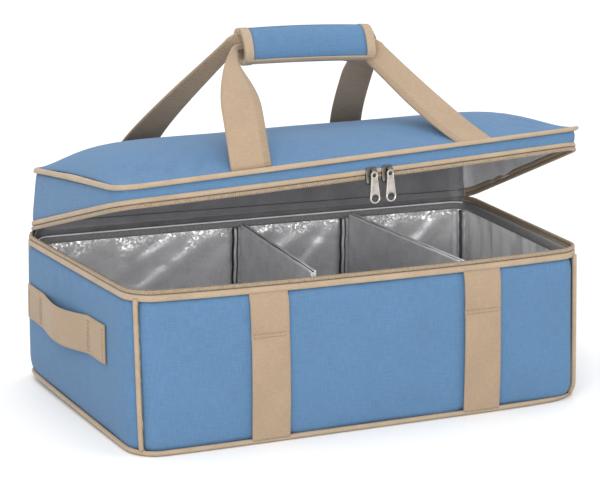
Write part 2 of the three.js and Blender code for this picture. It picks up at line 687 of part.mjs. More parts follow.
// The pull hangs from its knuckle along -z, with its flat in the plane of x and z.
function pullGeometry() {
  const bore = BRIDGE_BAR_RADIUS + PULL_RUNNING_GAP;
  const knuckle = bore + PULL_KNUCKLE_WALL;
  const tip = PULL_TIP_WIDTH / 2;
  const centreZ = -PULL_LENGTH + tip;
  const shape = new THREE.Shape();
  shape.moveTo(-PULL_TOP_WIDTH / 2, -knuckle);
  shape.lineTo(-tip, centreZ);
  shape.absarc(0, centreZ, tip, HALF_TURN, 2 * HALF_TURN, false);
  shape.lineTo(PULL_TOP_WIDTH / 2, -knuckle);
  const hole = new THREE.Path();
  hole.absarc(0, centreZ, PULL_HOLE_RADIUS, 0, 2 * HALF_TURN, true);
  shape.holes.push(hole);
  const plate = new THREE.ExtrudeGeometry(shape, {
    depth: PULL_THICKNESS,
    bevelEnabled: false,
    curveSegments: ROUND_STEPS,
  });
  plate.translate(0, 0, -PULL_THICKNESS / 2);
  plate.rotateX(QUARTER_TURN);
  const neckX = PULL_KNUCKLE_WIDTH / 2;
  const neckY = PULL_THICKNESS / 2;
  const neck = box(-neckX, neckX, -neckY, neckY, -knuckle - PULL_KNUCKLE_WALL, 0);
  const roll = toSolid(barAlongX(knuckle, PULL_KNUCKLE_WIDTH));
  const through = toSolid(barAlongX(bore, 2 * PULL_KNUCKLE_WIDTH));
  return fromSolid(toSolid(plate).add(toSolid(neck)).add(roll).subtract(through));
}

function addSliders() {
  ['left', 'right'].forEach((hand, i) => {
    const slider = piece(`zip_slider_${hand}`, sliderGeometry(), 'metal', lid);
    slider.position.set(SLIDER_X[i], -backY, 0);
    const pull = piece(`zip_pull_${hand}`, pullGeometry(), 'metal', lid);
    pull.position.set(SLIDER_X[i], -backY - barOut, BRIDGE_LIFT);
    pull.rotation.x = radians(PULL_HANG_DEGREES);
  });
}

addBase();
addWalls();
addCornerPiping();
addRim();
addBodyStraps();
addSideHandles();
addDividers();
addLidShell();
addHandleStraps();
addGrip();
addSliders();

export default bag;
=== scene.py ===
"""Looks of a soft-sided insulated food carrier, drawn over its CAD frame.

All lengths are millimetres until a mesh is made, apart from those of the camera, the floor and the lights,
which are metres. +X runs along the front to the right, +Y to the back and +Z up. The lid is drawn closed,
with its parting plane at z = 0, and then turned open."""

import math
from collections import namedtuple

import bmesh
import bpy
import numpy as np
from mathutils import Matrix, Vector, noise


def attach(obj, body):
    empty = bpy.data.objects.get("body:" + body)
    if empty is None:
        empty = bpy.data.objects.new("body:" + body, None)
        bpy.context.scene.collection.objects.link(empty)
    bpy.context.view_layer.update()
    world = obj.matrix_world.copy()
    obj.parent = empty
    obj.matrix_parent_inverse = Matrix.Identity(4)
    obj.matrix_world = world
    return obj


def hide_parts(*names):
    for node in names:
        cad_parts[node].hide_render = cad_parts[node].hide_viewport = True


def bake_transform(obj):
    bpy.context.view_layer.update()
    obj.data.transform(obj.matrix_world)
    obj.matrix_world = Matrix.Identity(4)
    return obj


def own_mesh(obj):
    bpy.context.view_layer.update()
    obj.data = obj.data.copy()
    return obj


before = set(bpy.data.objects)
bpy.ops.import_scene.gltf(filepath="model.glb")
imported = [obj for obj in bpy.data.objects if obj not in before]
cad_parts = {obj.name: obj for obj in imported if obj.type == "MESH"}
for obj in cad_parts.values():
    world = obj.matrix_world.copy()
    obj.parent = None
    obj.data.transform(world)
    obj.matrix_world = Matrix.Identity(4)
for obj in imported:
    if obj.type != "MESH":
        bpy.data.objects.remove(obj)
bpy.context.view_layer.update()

MM = 0.001
TURN = 2 * math.pi

# Sizes of the bag. Plan, layers and lid edge are the CAD's; rim, dome, grip and pulls are fitted further
WIDTH, DEPTH = 430.0, 238.0
CAD_RIM, RIM_RISE = 132.0, 2.0
HEIGHT = CAD_RIM + RIM_RISE
RADIUS = 22.0
FABRIC, FOAM, FOIL, GAP = 1.2, 5.0, 0.8, 0.3
FOAM_IN = FABRIC + GAP
LINER_IN = FOAM_IN + FOAM + GAP
INNER_IN = LINER_IN + FOIL
PIPING, PIPING_OUT = 2.1, 0.5
SEAM_IN = PIPING - PIPING_OUT + GAP
PANEL_LOW, CLOTH_EDGE = 3.5, 8.9
BOARD_LOW, BOARD_TOP = 1.5, 4.5
FLOOR_TOP, BASE_PIPING_Z = 5.7, 2.5
FOAM_LOW, LINER_LOW, LAYER_TOP = 4.8, 4.9, HEIGHT - 6.0
INNER_FOLLOW = 0.75
LID_FRONT, LID_REAR = 24.0, 51.0
LID_OPEN = math.radians(18.5)
LID_SLOPE = math.atan2(LID_REAR - LID_FRONT, DEPTH)
CROWN, CROWN_TILT = 25.0, 0.03
CROWN_X_POWER, CROWN_Y_POWER = 11.0, 2.4
HINGE_Y = DEPTH / 2 + 0.3
STRAP_X = (-92.0, 112.0)
STRAP_WIDTH, STRAP_THICK = 36.0, 1.8
HANDLE_X = 10.0
SLIDER_X = (14.0, 28.5)
BAR_OUT, BAR_UP = 8.0, 5.0
PULL_LENGTH, PULL_HANG = 25.0, math.radians(14.0)
GRIP_X, GRIP_Q, GRIP_N = -5.0, 101.0, 92.2
GRIP_TILT, GRIP_ARCH = math.radians(3.2), 1.2
GRIP_LENGTH, GRIP_DEPTH, GRIP_HEIGHT = 121.0, 26.0, 33.2
SIDES = {"front": 2, "right": 3, "back": 0, "left": 1}

# How far the soft walls leave the flat CAD walls
FRONT_BELLY, BACK_BELLY, END_BELLY = 4.0, 3.0, 2.8
RIM_BOW, RIM_SAG = 4.0, 1.4
LID_BELLY, LID_SAG = 1.8, 1.5
LID_FRONT_DROP, LID_RIGHT_DROP = 3.6, -1.3
BASE_TUCK, BASE_TUCK_HEIGHT, BASE_SHARP = 9.0, 15.0, 0.35
LID_SQUARE, LID_SQUARE_BACK, LID_SQUARE_REACH = 6.0, 3.0, 13.0
LID_TWIST = math.radians(1.65)

# How far the slack corners stand out of square: left or right, front or back, shift below and above
CASE_LEAN = [
    (0, 0, (11.0, -16.0, 0.0), (12.0, -2.0, 4.5)),
    (1, 0, (-8.3, -5.0, 0.0), (-8.0, 0.0, 1.8)),
    (0, 1, (-5.0, 13.0, 4.5), (-8.0, 0.0, -0.3)),
    (1, 1, (-4.0, 0.0, 0.0), (-7.0, 0.0, -5.8)),
]
LID_LEAN = [
    (0, 0, (5.0, 0.0, 0.0), (8.0, 0.0, 1.0)),
    (1, 0, (-0.8, 0.0, 2.2), (-3.4, 0.0, 0.0)),
    (0, 1, (-5.0, 0.0, -2.0), (7.6, 0.0, 3.8)),
    (1, 1, (-7.0, 0.0, -10.5), (-3.0, 0.0, -4.5)),
]


# Materials


class Nodes:
    """A node material with a Principled shader, built by short calls."""

    def __init__(self, name, color, roughness, metallic=0.0, sheen=0.0, specular=0.5):
        self.material = bpy.data.materials.new(name)
        self.material.use_nodes = True
        self.material.diffuse_color = (*color, 1.0)
        self.tree = self.material.node_tree
        self.shader = self.tree.nodes["Principled BSDF"].inputs
        self.shader["Base Color"].default_value = (*color, 1.0)
        self.shader["Roughness"].default_value = roughness
        self.shader["Metallic"].default_value = metallic
        self.shader["Sheen Weight"].default_value = sheen
        self.shader["Specular IOR Level"].default_value = specular

    def add(self, kind, inputs, output=0, **settings):
        node = self.tree.nodes.new("ShaderNode" + kind)
        for key, value in settings.items():
            setattr(node, key, value)
        for key, value in inputs.items():
            socket = node.inputs[key]
            if isinstance(value, bpy.types.NodeSocket):
                self.tree.links.new(value, socket)
            else:
                socket.default_value = value
        return node.outputs[output]

    def math(self, operation, a, b=0.0):
        return self.add("Math", {0: a, 1: b}, operation=operation)

    def vector(self, operation, a, b=(0.0, 0.0, 0.0), scale=1.0):
        return self.add("VectorMath", {0: a, 1: b, 3: scale}, operation=operation)

    def facets(self, place, size, amount):
        """The surface normal, tilted at random and a little upwards in cells of the given size."""
        mapped = self.add("Mapping", {"Vector": place, "Scale": (1 / size, 1 / size, 1.0)})
        cells = self.add("TexVoronoi", {"Vector": mapped, "Scale": 1.0}, 1)
        tilt = self.vector("SCALE", self.vector("SUBTRACT", cells, (0.5, 0.5, 0.38)), scale=amount)
        normal = self.add("NewGeometry", {}, 1)
        return self.vector("NORMALIZE", self.vector("ADD", normal, tilt))

    def cloth(self):
        """The piece's own (along, across) coordinates in millimetres, apart and together."""
        both = self.add("UVMap", {}, uv_map="Cloth")
        parts = self.add("SeparateXYZ", {0: both})
        return both, parts, parts.node.outputs[1]

    def wave(self, along, pitch):
        return self.math("SINE", self.math("MULTIPLY", along, TURN / pitch))

    def noise(self, place, scale, detail=2.0, roughness=0.5):
        """Noise with a grain of 1/scale in the units of place; scale may differ along and across."""
        sizes = scale if isinstance(scale, tuple) else (scale, scale, scale)
        mapped = self.add("Mapping", {"Vector": place, "Scale": sizes})
        inputs = {"Vector": mapped, "Scale": 1.0, "Detail": detail, "Roughness": roughness}
        return self.add("TexNoise", inputs)

    def ramp(self, value, stops):
        out = self.add("ValToRGB", {0: value})
        elements = out.node.color_ramp.elements
        while len(elements) < len(stops):
            elements.new(0.5)
        for element, (place, color) in zip(elements, stops):
            element.position = place
            element.color = (*color, 1.0)
        return out

    def levels(self, value, low, high, to_low, to_high):
        return self.add("MapRange", {0: value, 1: low, 2: high, 3: to_low, 4: to_high})

    def sum(self, *weighted):
        """The sum of (weight, value) pairs."""
        total = None
        for weight, value in weighted:
            part = self.math("MULTIPLY", value, weight)
            total = part if total is None else self.math("ADD", total, part)
        return total

    def finish(self, color, roughness, height, depth, strength, normal=None):
        """Links the colour, any roughness and a bump that is depth millimetres deep."""
        inputs = {"Height": height, "Distance": depth * MM, "Strength": strength}
        if normal is not None:
            inputs["Normal"] = normal
        links = {"Base Color": color, "Roughness": roughness, "Normal": self.add("Bump", inputs)}
        for key, value in links.items():
            if value is not None:
                self.tree.links.new(value, self.shader[key])
        return self.material


def shades(color, dark, light):
    """Three stops of one colour: darker, itself and lighter."""
    return [
        (0.25, tuple(c * dark for c in color)),
        (0.5, color),
        (0.75, tuple(min(1.0, c * light) for c in color)),
    ]


def woven_cloth(name, color):
    """Plain-woven polyester with slubs along both threads."""
    g = Nodes(name, color, 0.8, sheen=0.05, specular=0.35)
    both, along, across = g.cloth()
    weave = g.math("MULTIPLY", g.wave(along, 1.3), g.wave(across, 1.3))
    warp = g.noise(both, (0.09, 1.1, 1.0), 3.0, 0.6)
    weft = g.noise(both, (1.1, 0.09, 1.0), 3.0, 0.6)
    patch = g.noise(both, 0.018, 2.0)
    value = g.sum((0.4, warp), (0.4, weft), (0.2, patch), (0.03, weave))
    grain = g.sum((0.5, weave), (0.9, warp), (0.9, weft))
    rough = g.levels(patch, 0.3, 0.7, 0.72, 0.86)
    return g.finish(g.ramp(value, shades(color, 0.72, 1.25)), rough, grain, 0.16, 0.7)


def ribbed_webbing(name, color):
    """Webbing with ribs across its length and a smoother selvedge along both edges."""
    g = Nodes(name, color, 0.75, sheen=0.1, specular=0.35)
    both, along, across = g.cloth()
    rib = g.wave(along, 2.1)
    yarn = g.wave(across, 1.5)
    grain = g.noise(both, (0.5, 0.25, 1.0), 3.0, 0.6)
    patch = g.noise(both, 0.03, 2.0)
    edge = g.levels(g.math("ABSOLUTE", across), STRAP_WIDTH / 2 - 2.6, STRAP_WIDTH / 2 - 1.4, 0.0, 1.0)
    body = g.math("SUBTRACT", 1.0, edge)
    ribs = g.math("MULTIPLY", rib, body)
    value = g.sum((0.45, grain), (0.35, patch), (0.07, ribs), (0.09, edge))
    value = g.math("ADD", value, 0.1)
    height = g.sum((0.8, ribs), (0.25, g.math("MULTIPLY", yarn, rib)), (0.4, grain))
    return g.finish(g.ramp(value, shades(color, 0.74, 1.2)), None, height, 0.3, 0.8)


def twill_trim(name, color):
    """Bias-cut piping and zip tape with a fine slanted twill."""
    g = Nodes(name, color, 0.7, sheen=0.1, specular=0.35)
    both, along, across = g.cloth()
    slant = g.wave(g.math("ADD", along, across), 1.25)
    grain = g.noise(both, (0.3, 0.6, 1.0), 3.0, 0.6)
    patch = g.noise(both, 0.04, 2.0)
    value = g.sum((0.45, grain), (0.5, patch), (0.04, slant))
    height = g.sum((0.5, slant), (0.5, grain))
    return g.finish(g.ramp(value, shades(color, 0.76, 1.18)), None, height, 0.14, 0.7)


def coil_teeth(name, color):
    """A zip coil with one tooth every 1.7 mm."""
    g = Nodes(name, color, 0.5, specular=0.5)
    both, along, _ = g.cloth()
    tooth = g.wave(along, 1.7)
    grain = g.noise(both, 0.35, 2.0)
    value = g.sum((0.6, grain), (0.12, tooth))
    value = g.math("ADD", value, 0.2)
    return g.finish(g.ramp(value, shades(color, 0.6, 1.2)), None, tooth, 0.5, 0.9)


def crinkled_foil(name, color, roughness, crinkle, broad, metallic=0.6, sparkle=0.0, folded=0.0):
    """Aluminised film on a woven scrim, with crinkles and broad dents. Where sparkle is above zero, small
    facets glitter, most of all under a wall lining's hem, and the colour there is lightened as a painted
    glint. The last argument gives lighter and darker upright bands in the colour, the painted sheen and shade
    of upright folds."""
    g = Nodes(name, color, roughness, metallic=metallic, specular=0.5)
    both, along, across = g.cloth()
    scrim = g.math("MULTIPLY", g.wave(along, 1.6), g.wave(across, 1.6))
    fine = g.noise(both, 0.4, 1.5)
    dents = g.noise(both, 0.06, 1.5)
    height = g.sum((0.0 if sparkle else 0.1, scrim), (crinkle, fine), (broad, dents))
    value = g.sum((0.4, fine), (0.6, dents))
    normal = None
    if sparkle:
        hem = g.levels(across, LINER_HEM, LINER_HEM + 34.0, 1.0, 0.0)
        patches = g.levels(g.noise(both, 0.035, 2.0), 0.45, 0.6, 0.0, 1.0)
        close = g.levels(across, LINER_HEM + 2.0, LINER_HEM + 12.0, 0.9, 0.0)
        spots = g.math("MULTIPLY", g.math("MULTIPLY", hem, hem), patches)
        amount = g.math("MULTIPLY", g.math("ADD", close, spots), sparkle)
        normal = g.facets(both, 1.7, amount)
        # Lightens the colour where the facets are: a painted glint.
        value = g.math("ADD", value, g.math("MULTIPLY", amount, 0.25))
    if folded:
        # Lighter and darker upright bands in the colour: the painted sheen and shade of folds.
        bands = g.levels(g.noise(both, (0.07, 0.009, 1.0), 1.5), 0.38, 0.62, -0.5, 0.5)
        value = g.math("ADD", value, g.math("MULTIPLY", bands, folded))
    rough = g.levels(g.sum((0.5, fine), (0.5, dents)), 0.3, 0.7, roughness, roughness + 0.14)
    return g.finish(g.ramp(value, shades(color, 0.8, 1.2)), rough, height, 0.35, 0.85, normal)


def plain_weave(name, color, roughness, pitch):
    """Plain cloth, foam or thread with a weave of the given pitch."""
    g = Nodes(name, color, roughness, sheen=0.05, specular=0.4)
    both, along, across = g.cloth()
    weave = g.math("MULTIPLY", g.wave(along, pitch), g.wave(across, pitch))
    grain = g.noise(both, 0.4, 3.0, 0.6)
    value = g.sum((0.85, grain), (0.05, weave))
    value = g.math("ADD", value, 0.07)
    height = g.sum((0.5, weave), (0.6, grain))
    return g.finish(g.ramp(value, shades(color, 0.7, 1.3)), None, height, 0.18, 0.7)


def cast_metal(name, color):
    """Pewter-plated zinc with fine scratches and slightly duller patches."""
    g = Nodes(name, color, 0.32, metallic=1.0)
    place = g.add("TexCoord", {}, 3)
    scratch = g.noise(place, (300.0, 300.0, 2600.0), 4.0, 0.7)
    patch = g.noise(place, 260.0, 3.0)
    rough = g.levels(g.sum((0.5, scratch), (0.5, patch)), 0.3, 0.7, 0.22, 0.44)
    tone = g.ramp(patch, shades(color, 0.78, 1.15))
    return g.finish(tone, rough, scratch, 0.05, 0.5)


def moulded_board(name, color):
    """Stiff board with a fine grain."""
    g = Nodes(name, color, 0.55)
    place = g.add("TexCoord", {}, 3)
    grain = g.noise(place, 900.0, 3.0, 0.6)
    return g.finish(g.ramp(grain, shades(color, 0.9, 1.08)), None, grain, 0.1, 0.6)


LINER_HEM = HEIGHT - 8.5
BLUE = (0.076, 0.162, 0.285)
BEIGE = (0.286, 0.207, 0.137)
SAND = (0.36, 0.272, 0.185)
SILVER = (0.9, 0.9, 0.91)
cloth_blue = woven_cloth("cloth_blue", BLUE)
webbing_beige = ribbed_webbing("webbing_beige", BEIGE)
trim_sand = twill_trim("trim_sand", SAND)
coil_sand = coil_teeth("coil_sand", SAND)
# Wall lining foil with sparkle; its colour is lightened near the hem as a painted glint.
foil_bright = crinkled_foil("foil_bright", SILVER, 0.3, 0.3, 2.6, 0.55, 0.6)
# Foil for the right wall, with upright bands painted lighter and darker as the sheen and shade of folds.
foil_fold_shaded = crinkled_foil("foil_fold_shaded", (0.93, 0.93, 0.94), 0.38, 0.3, 1.6, 0.15, 0.4, 1.1)
foil_smooth = crinkled_foil("foil_smooth", (0.72, 0.72, 0.735), 0.46, 0.12, 0.26)
foil_mid = crinkled_foil("foil_mid", (0.88, 0.88, 0.89), 0.4, 0.2, 1.2, 0.3)
# A darkened copy of the lining foil, for the lid's underside, walls and hinge: painted shade.
foil_shaded = crinkled_foil("foil_shaded", (0.22, 0.22, 0.23), 0.46, 0.14, 0.3)
# A lighter, non-metallic copy of the foil for the divider welts and the rim fold: painted highlight.
foil_highlight = crinkled_foil("foil_highlight", (0.86, 0.86, 0.87), 0.5, 0.3, 0.6, 0.0)
binding_grey = plain_weave("binding_grey", (0.21, 0.205, 0.205), 0.5, 1.4)
# Dark cloth for the rods beside the corner seams that stand in for the groove's shadow: painted shade.
seam_shadow = plain_weave("seam_shadow", (0.1, 0.1, 0.103), 0.8, 1.4)
# Near-black cloth for the divider's top groove and flange, standing in for the shadow in these gaps: painted
# shade.
gap_shadow = plain_weave("gap_shadow", (0.03, 0.03, 0.032), 0.8, 1.4)
foam_white = plain_weave("foam_white", (0.75, 0.75, 0.72), 0.95, 2.2)
hook_black = plain_weave("hook_black", (0.02, 0.02, 0.024), 0.95, 1.1)
thread_sand = plain_weave("thread_sand", (0.27, 0.19, 0.115), 0.6, 0.5)
metal_pewter = cast_metal("metal_pewter", (0.45, 0.42, 0.385))
metal_dark = cast_metal("metal_dark", (0.12, 0.11, 0.1))
board_grey = moulded_board("board_grey", (0.62, 0.62, 0.61))


# Meshes


def piece(name, parts, material, body, nodes=(), blend=None, sharp=None):
    """One object from lofts: (points, faces, corner coordinates) each, in millimetres. Edges that turn by
    more than sharp degrees stay sharp."""
    points, faces, corners = [], [], []
    for part_points, part_faces, part_corners in parts:
        base = sum(len(p) for p in points)
        points.append(np.asarray(part_points, float))
        faces.extend([[base + i for i in face] for face in part_faces])
        corners.extend(part_corners)
    mesh = bpy.data.meshes.new(name)
    mesh.from_pydata((np.concatenate(points) * MM).tolist(), [], faces)
    layer = mesh.uv_layers.new(name="Cloth")
    layer.data.foreach_set("uv", np.asarray(corners, np.float32).ravel())
    work = bmesh.new()
    work.from_mesh(mesh)
    bmesh.ops.recalc_face_normals(work, faces=work.faces)
    work.to_mesh(mesh)
    work.free()
    mesh.polygons.foreach_set("use_smooth", np.ones(len(mesh.polygons), bool))
    if sharp:
        mesh.set_sharp_from_angle(angle=math.radians(sharp))
    mesh.materials.append(material)
    obj = bpy.data.objects.new(name, mesh)
    bpy.context.collection.objects.link(obj)
    if blend:
        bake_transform(obj)
    else:
        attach(obj, body)
    if nodes:
        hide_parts(*nodes)
    return obj


def soften(obj, width):
    """Rounds an object's hard edges."""
    bevel = obj.modifiers.new("Soft edges", "BEVEL")
    bevel.width = width * MM
    bevel.segments = 2
    bevel.limit_method = "ANGLE"
    bevel.angle_limit = math.radians(40.0)


def run_along(points):
    """The distance along a path, at each of its points."""
    return np.concatenate([[0], np.cumsum(np.linalg.norm(np.diff(points, axis=0), axis=1))])


def points_at(points, places):
    """Points of a path at the given distances along it."""
    run = run_along(points)
    return np.stack([np.interp(places, run, points[:, i]) for i in range(3)], 1)


def loft(rings, along=None, closed=False):
    """A skin over rings of points, each ring closed. along is the cloth coordinate of each ring. Its ends are
    capped unless the rings themselves close up."""
    rings = np.asarray(rings, float)
    count, size = rings.shape[:2]
    if along is None:
        along = run_along(rings.mean(axis=1))
    if closed:
        along = np.append(along, along[-1] + np.linalg.norm(rings[0, 0] - rings[-1, 0]))
    round_it = np.linalg.norm(rings - np.roll(rings, -1, axis=1), axis=2).mean(axis=0)
    across = np.concatenate([[0], np.cumsum(round_it)])
    faces, corners = [], []
    for k in range(count if closed else count - 1):
        here, there = k * size, (k + 1) % count * size
        for i in range(size):
            j = (i + 1) % size
            faces.append((here + i, there + i, there + j, here + j))
            low, high = across[i], across[i + 1]
            corners += [(along[k], low), (along[k + 1], low), (along[k + 1], high), (along[k], high)]
    for ring in () if closed else (0, count - 1):
        for i in range(size // 2 - 1):
            quad = (i, i + 1, size - 2 - i, size - 1 - i)
            if len(set(quad)) < 4:
                continue
            faces.append(tuple(ring * size + q for q in quad))
            corners += [(along[ring], across[q]) for q in quad]
    return rings.reshape(-1, 3), faces, corners


def centre_across(part, middle):
    """Moves a loft's across coordinate so that it is zero at the given coordinate."""
    points, faces, corners = part
    return points, faces, [(u, v - middle) for u, v in corners]


def moved(part, change):
    """A loft with its points passed through a function."""
    points, faces, corners = part
    return change(points), faces, corners


def slab(scales, inset, top, bottom, place):
    """A closed sheet over the whole plan between two heights or height fields, through place(x, y, z)."""
    loop = inwards(LOOP, inset)[:, :2]
    count = len(loop)
    flat = np.concatenate([loop * scale for scale in scales] + [np.zeros((1, 2))])
    x, y = flat.T
    points = [place(x, y, z(x, y) if callable(z) else z + 0 * x) for z in (top, bottom)]
    points, flat = np.concatenate(points), np.concatenate([flat, flat])
    centre = len(scales) * count
    under = centre + 1
    faces = []
    for j in range(count):
        n = (j + 1) % count
        for r in range(len(scales) - 1):
            a, b = r * count, (r + 1) * count
            quad = (a + j, a + n, b + n, b + j)
            faces += [quad, tuple(under + q for q in reversed(quad))]
        last = centre - count
        faces += [(last + j, last + n, centre), (under + last + n, under + last + j, under + centre)]
        faces.append((under + j, under + n, n, j))
    corners = [tuple(flat[i]) for face in faces for i in face]
    return points, faces, corners


def frames(points, start):
    """Side and up of a path, carried along it without twisting. start is the first side."""
    points = np.asarray(points, float)
    tangents = np.gradient(points, axis=0)
    tangents /= np.linalg.norm(tangents, axis=1)[:, None]
    side = np.asarray(start, float)
    sides = []
    for t in tangents:
        side = side - t * side.dot(t)
        side = side / np.linalg.norm(side)
        sides.append(side)
    return np.array(sides), np.cross(tangents, sides)


def tube(points, radius, start=(0.3, 0.5, 0.81), sides=10, taper=False):
    """A round rod along a path. With taper, its ends are rounded off."""
    points = np.asarray(points, float)
    side, up = frames(points, start)
    angle = np.arange(sides) * TURN / sides
    size = np.full(len(points), float(radius))
    if taper:
        size[0] = size[-1] = radius * 0.35
    ring = side[:, None] * np.cos(angle)[None, :, None] + up[:, None] * np.sin(angle)[None, :, None]
    return loft(points[:, None] + ring * size[:, None, None])


def flat_section(width, thick, across=9):
    """A webbing section, anti-clockwise, as (across, up) points with rounded edges."""
    half = width / 2
    x = np.linspace(-1, 1, across)
    x = np.sign(x) * np.abs(x) ** 0.8 * (half - thick * 0.3)
    low = [(v, -thick / 2) for v in x]
    high = [(v, thick / 2) for v in x[::-1]]
    return np.array(low + [(half, 0.0)] + high + [(-half, 0.0)])


def ribbon(points, width, thick, start):
    """A flat bar along a path. start is the direction across it."""
    points = np.asarray(points, float)
    side, up = frames(points, start)
    section = flat_section(width, thick, 5)
    rings = points[:, None] + section[None, :, :1] * side[:, None] + section[None, :, 1:] * up[:, None]
    return loft(rings)


def cut_plate(outline, holes, thick, bevel):
    """A flat plate in the plane of x and z with holes through it, its edges rounded."""
    curve = bpy.data.curves.new("Plate", "CURVE")
    curve.dimensions = "2D"
    curve.fill_mode = "BOTH"
    curve.extrude, curve.bevel_depth, curve.offset = thick / 2 - bevel, bevel, -bevel
    curve.bevel_resolution = 2
    for loop in (outline, *holes):
        spline = curve.splines.new("POLY")
        spline.points.add(len(loop) - 1)
        spline.points.foreach_set("co", [c for x, z in loop for c in (x, z, 0.0, 1.0)])
        spline.use_cyclic_u = True
    holder = bpy.data.objects.new("Plate", curve)
    work = bmesh.new()
    work.from_mesh(holder.to_mesh())
    bmesh.ops.remove_doubles(work, verts=work.verts, dist=1e-4)
    points = np.array([(v.co.x, -v.co.z, v.co.y) for v in work.verts])
    work.verts.index_update()
    faces = [[v.index for v in face.verts] for face in work.faces]
    work.free()
    bpy.data.objects.remove(holder)
    bpy.data.curves.remove(curve)
    return points, faces, [(points[i][0], points[i][2]) for face in faces for i in face]


def arc(x, z, radius, start, end, count):
    """Points of a circle's arc in the plane of x and z, between two angles in turns."""
    angle = np.linspace(start, end, count) * TURN
    return [(x + radius * math.cos(a), z + radius * math.sin(a)) for a in angle]


def soft_box(x0, x1, z0, z1, radius, steps=4, sides=3):
    """A rounded rectangle as (x, z) points, anti-clockwise, with points added along its sides."""
    points = []
    for k, (cx, cz) in enumerate([(x1, z0), (x1, z1), (x0, z1), (x0, z0)]):
        cx += radius if k > 1 else -radius
        cz += radius if k in (0, 3) else -radius
        for a in np.linspace(-0.25 + 0.25 * k, 0.25 * k, steps + 1) * TURN:
            points.append((cx + radius * math.cos(a), cz + radius * math.sin(a)))
    filled = []
    for i, p in enumerate(points):
        q = points[(i + 1) % len(points)]
        filled.append(p)
        if i % (steps + 1) == steps:
            filled += [tuple(np.add(p, np.subtract(q, p) * (k + 1) / (sides + 1))) for k in range(sides)]
    return np.array(filled)


def stitch_row(points, length, pitch, radius, up, lift=0.25):
    """Thread stitches along a path, each a short rod that dips into the cloth at both ends."""
    up = np.asarray(up, float)
    parts = []
    for k in range(int((run_along(points)[-1] - length) // pitch) + 1):
        path = points_at(points, k * pitch + length * np.linspace(0, 1, 5))
        path += up * lift * np.array([-0.6, 0.5, 0.8, 0.5, -0.6])[:, None]
        parts.append(tube(path, radius, up + 0.01, 6, True))
    return parts


def wander(x, y, seed, size):
    """Smooth noise from -1 to 1 over arrays of millimetre coordinates."""
    x, y = np.broadcast_arrays(np.asarray(x, float), np.asarray(y, float))
    flat = [noise.noise(Vector((a / size, b / size, seed))) for a, b in zip(x.ravel(), y.ravel())]
    return np.array(flat).reshape(x.shape)


def creases(x, y, lines):
    """Soft ridges along lines: (x0, y0, x1, y1, width, height) each, fading out at both ends."""
    total = np.zeros(np.broadcast(x, y).shape)
    for x0, y0, x1, y1, width, height in lines:
        dx, dy = x1 - x0, y1 - y0
        length = math.hypot(dx, dy)
        t = ((x - x0) * dx + (y - y0) * dy) / length**2
        off = ((x - x0) * dy - (y - y0) * dx) / length
        fade = np.sin(np.clip(t, 0, 1) * math.pi) ** 0.7
        total += height * fade * np.exp(-((off / width) ** 2))
    return total


# The plan: stations of x, y, the angle of the outward normal and the distance along


def corner(quadrant, start=0.0, end=1.0, steps=8):
    """Stations round one corner, or round the given share of it."""
    angle = (quadrant % 4 + np.linspace(start, end, steps + 1)) * TURN / 4
    middle = (quadrant % 4 + 0.5) * TURN / 4
    x = math.copysign(WIDTH / 2 - RADIUS, math.cos(middle)) + RADIUS * np.cos(angle)
    y = math.copysign(DEPTH / 2 - RADIUS, math.sin(middle)) + RADIUS * np.sin(angle)
    return np.stack([x, y, angle], 1)


def stations(turns, step=5.0, closed=False):
    """Corners joined by straight runs with a station about every step."""
    rows = []
    following = turns[1:] + (turns[:1] if closed else [])
    for k, turn in enumerate(turns):
        rows.extend(turn)
        if k < len(following):
            a, b = turn[-1], following[k][0]
            count = max(1, int(np.hypot(*(b - a)[:2]) // step))
            for i in range(1, count):
                row = a + (b - a) * i / count
                row[2] = a[2]
                rows.append(row)
    rows = np.array(rows)
    return np.column_stack([rows, run_along(rows[:, :2])])


def wall_row(x, y, angle):
    """Stations that lie on one wall, where only their places count; x or y is an array."""
    x, y, angle = np.broadcast_arrays(x, y, angle)
    return np.column_stack([x, y, angle])


def share(length):
    """A length on a corner as a share of the corner."""
    return length / (RADIUS * TURN / 4)


def side(name, trim):
    """One side of the plan with its halves of two corners, less trim at both ends."""
    q, cut = SIDES[name], share(trim)
    return stations([corner(q, 0.5 + cut, 1.0), corner(q + 1, 0.0, 0.5 - cut)])


LOOP = stations([corner(q) for q in range(4)], closed=True)
ZIP_CUT = share(GAP)
ZIP = stations([corner(1, 0.5 + ZIP_CUT, 1.0), corner(2), corner(3), corner(0, 0.0, 0.5 - ZIP_CUT)])


def spread(st, inset, z):
    """x, y and angle of stations, shaped to go with inset and z, which may be (stations, levels) arrays."""
    inset, z = np.broadcast_arrays(np.asarray(inset, float), np.asarray(z, float))
    shape = (-1,) + (1,) * max(0, inset.ndim - 1)
    return *(st[:, i].reshape(shape) for i in range(3)), inset, z


def inwards(st, inset, z=0.0):
    """Points inset from stations."""
    x, y, angle, inset, z = spread(st, inset, z)
    return np.stack(np.broadcast_arrays(x - np.cos(angle) * inset, y - np.sin(angle) * inset, z), -1)


def lean(points, level, corners):
    """Shifts points by the leans of the plan's corners, shared out over the plan and over the height."""
    across, along = points[..., 0] / WIDTH + 0.5, points[..., 1] / DEPTH + 0.5
    shifted = np.array(points, float)
    for right, back, low, high in corners:
        weight = (across if right else 1 - across) * (along if back else 1 - along)
        shift = np.asarray(low) + (np.asarray(high) - np.asarray(low)) * level[..., None]
        shifted += weight[..., None] * shift
    return shifted


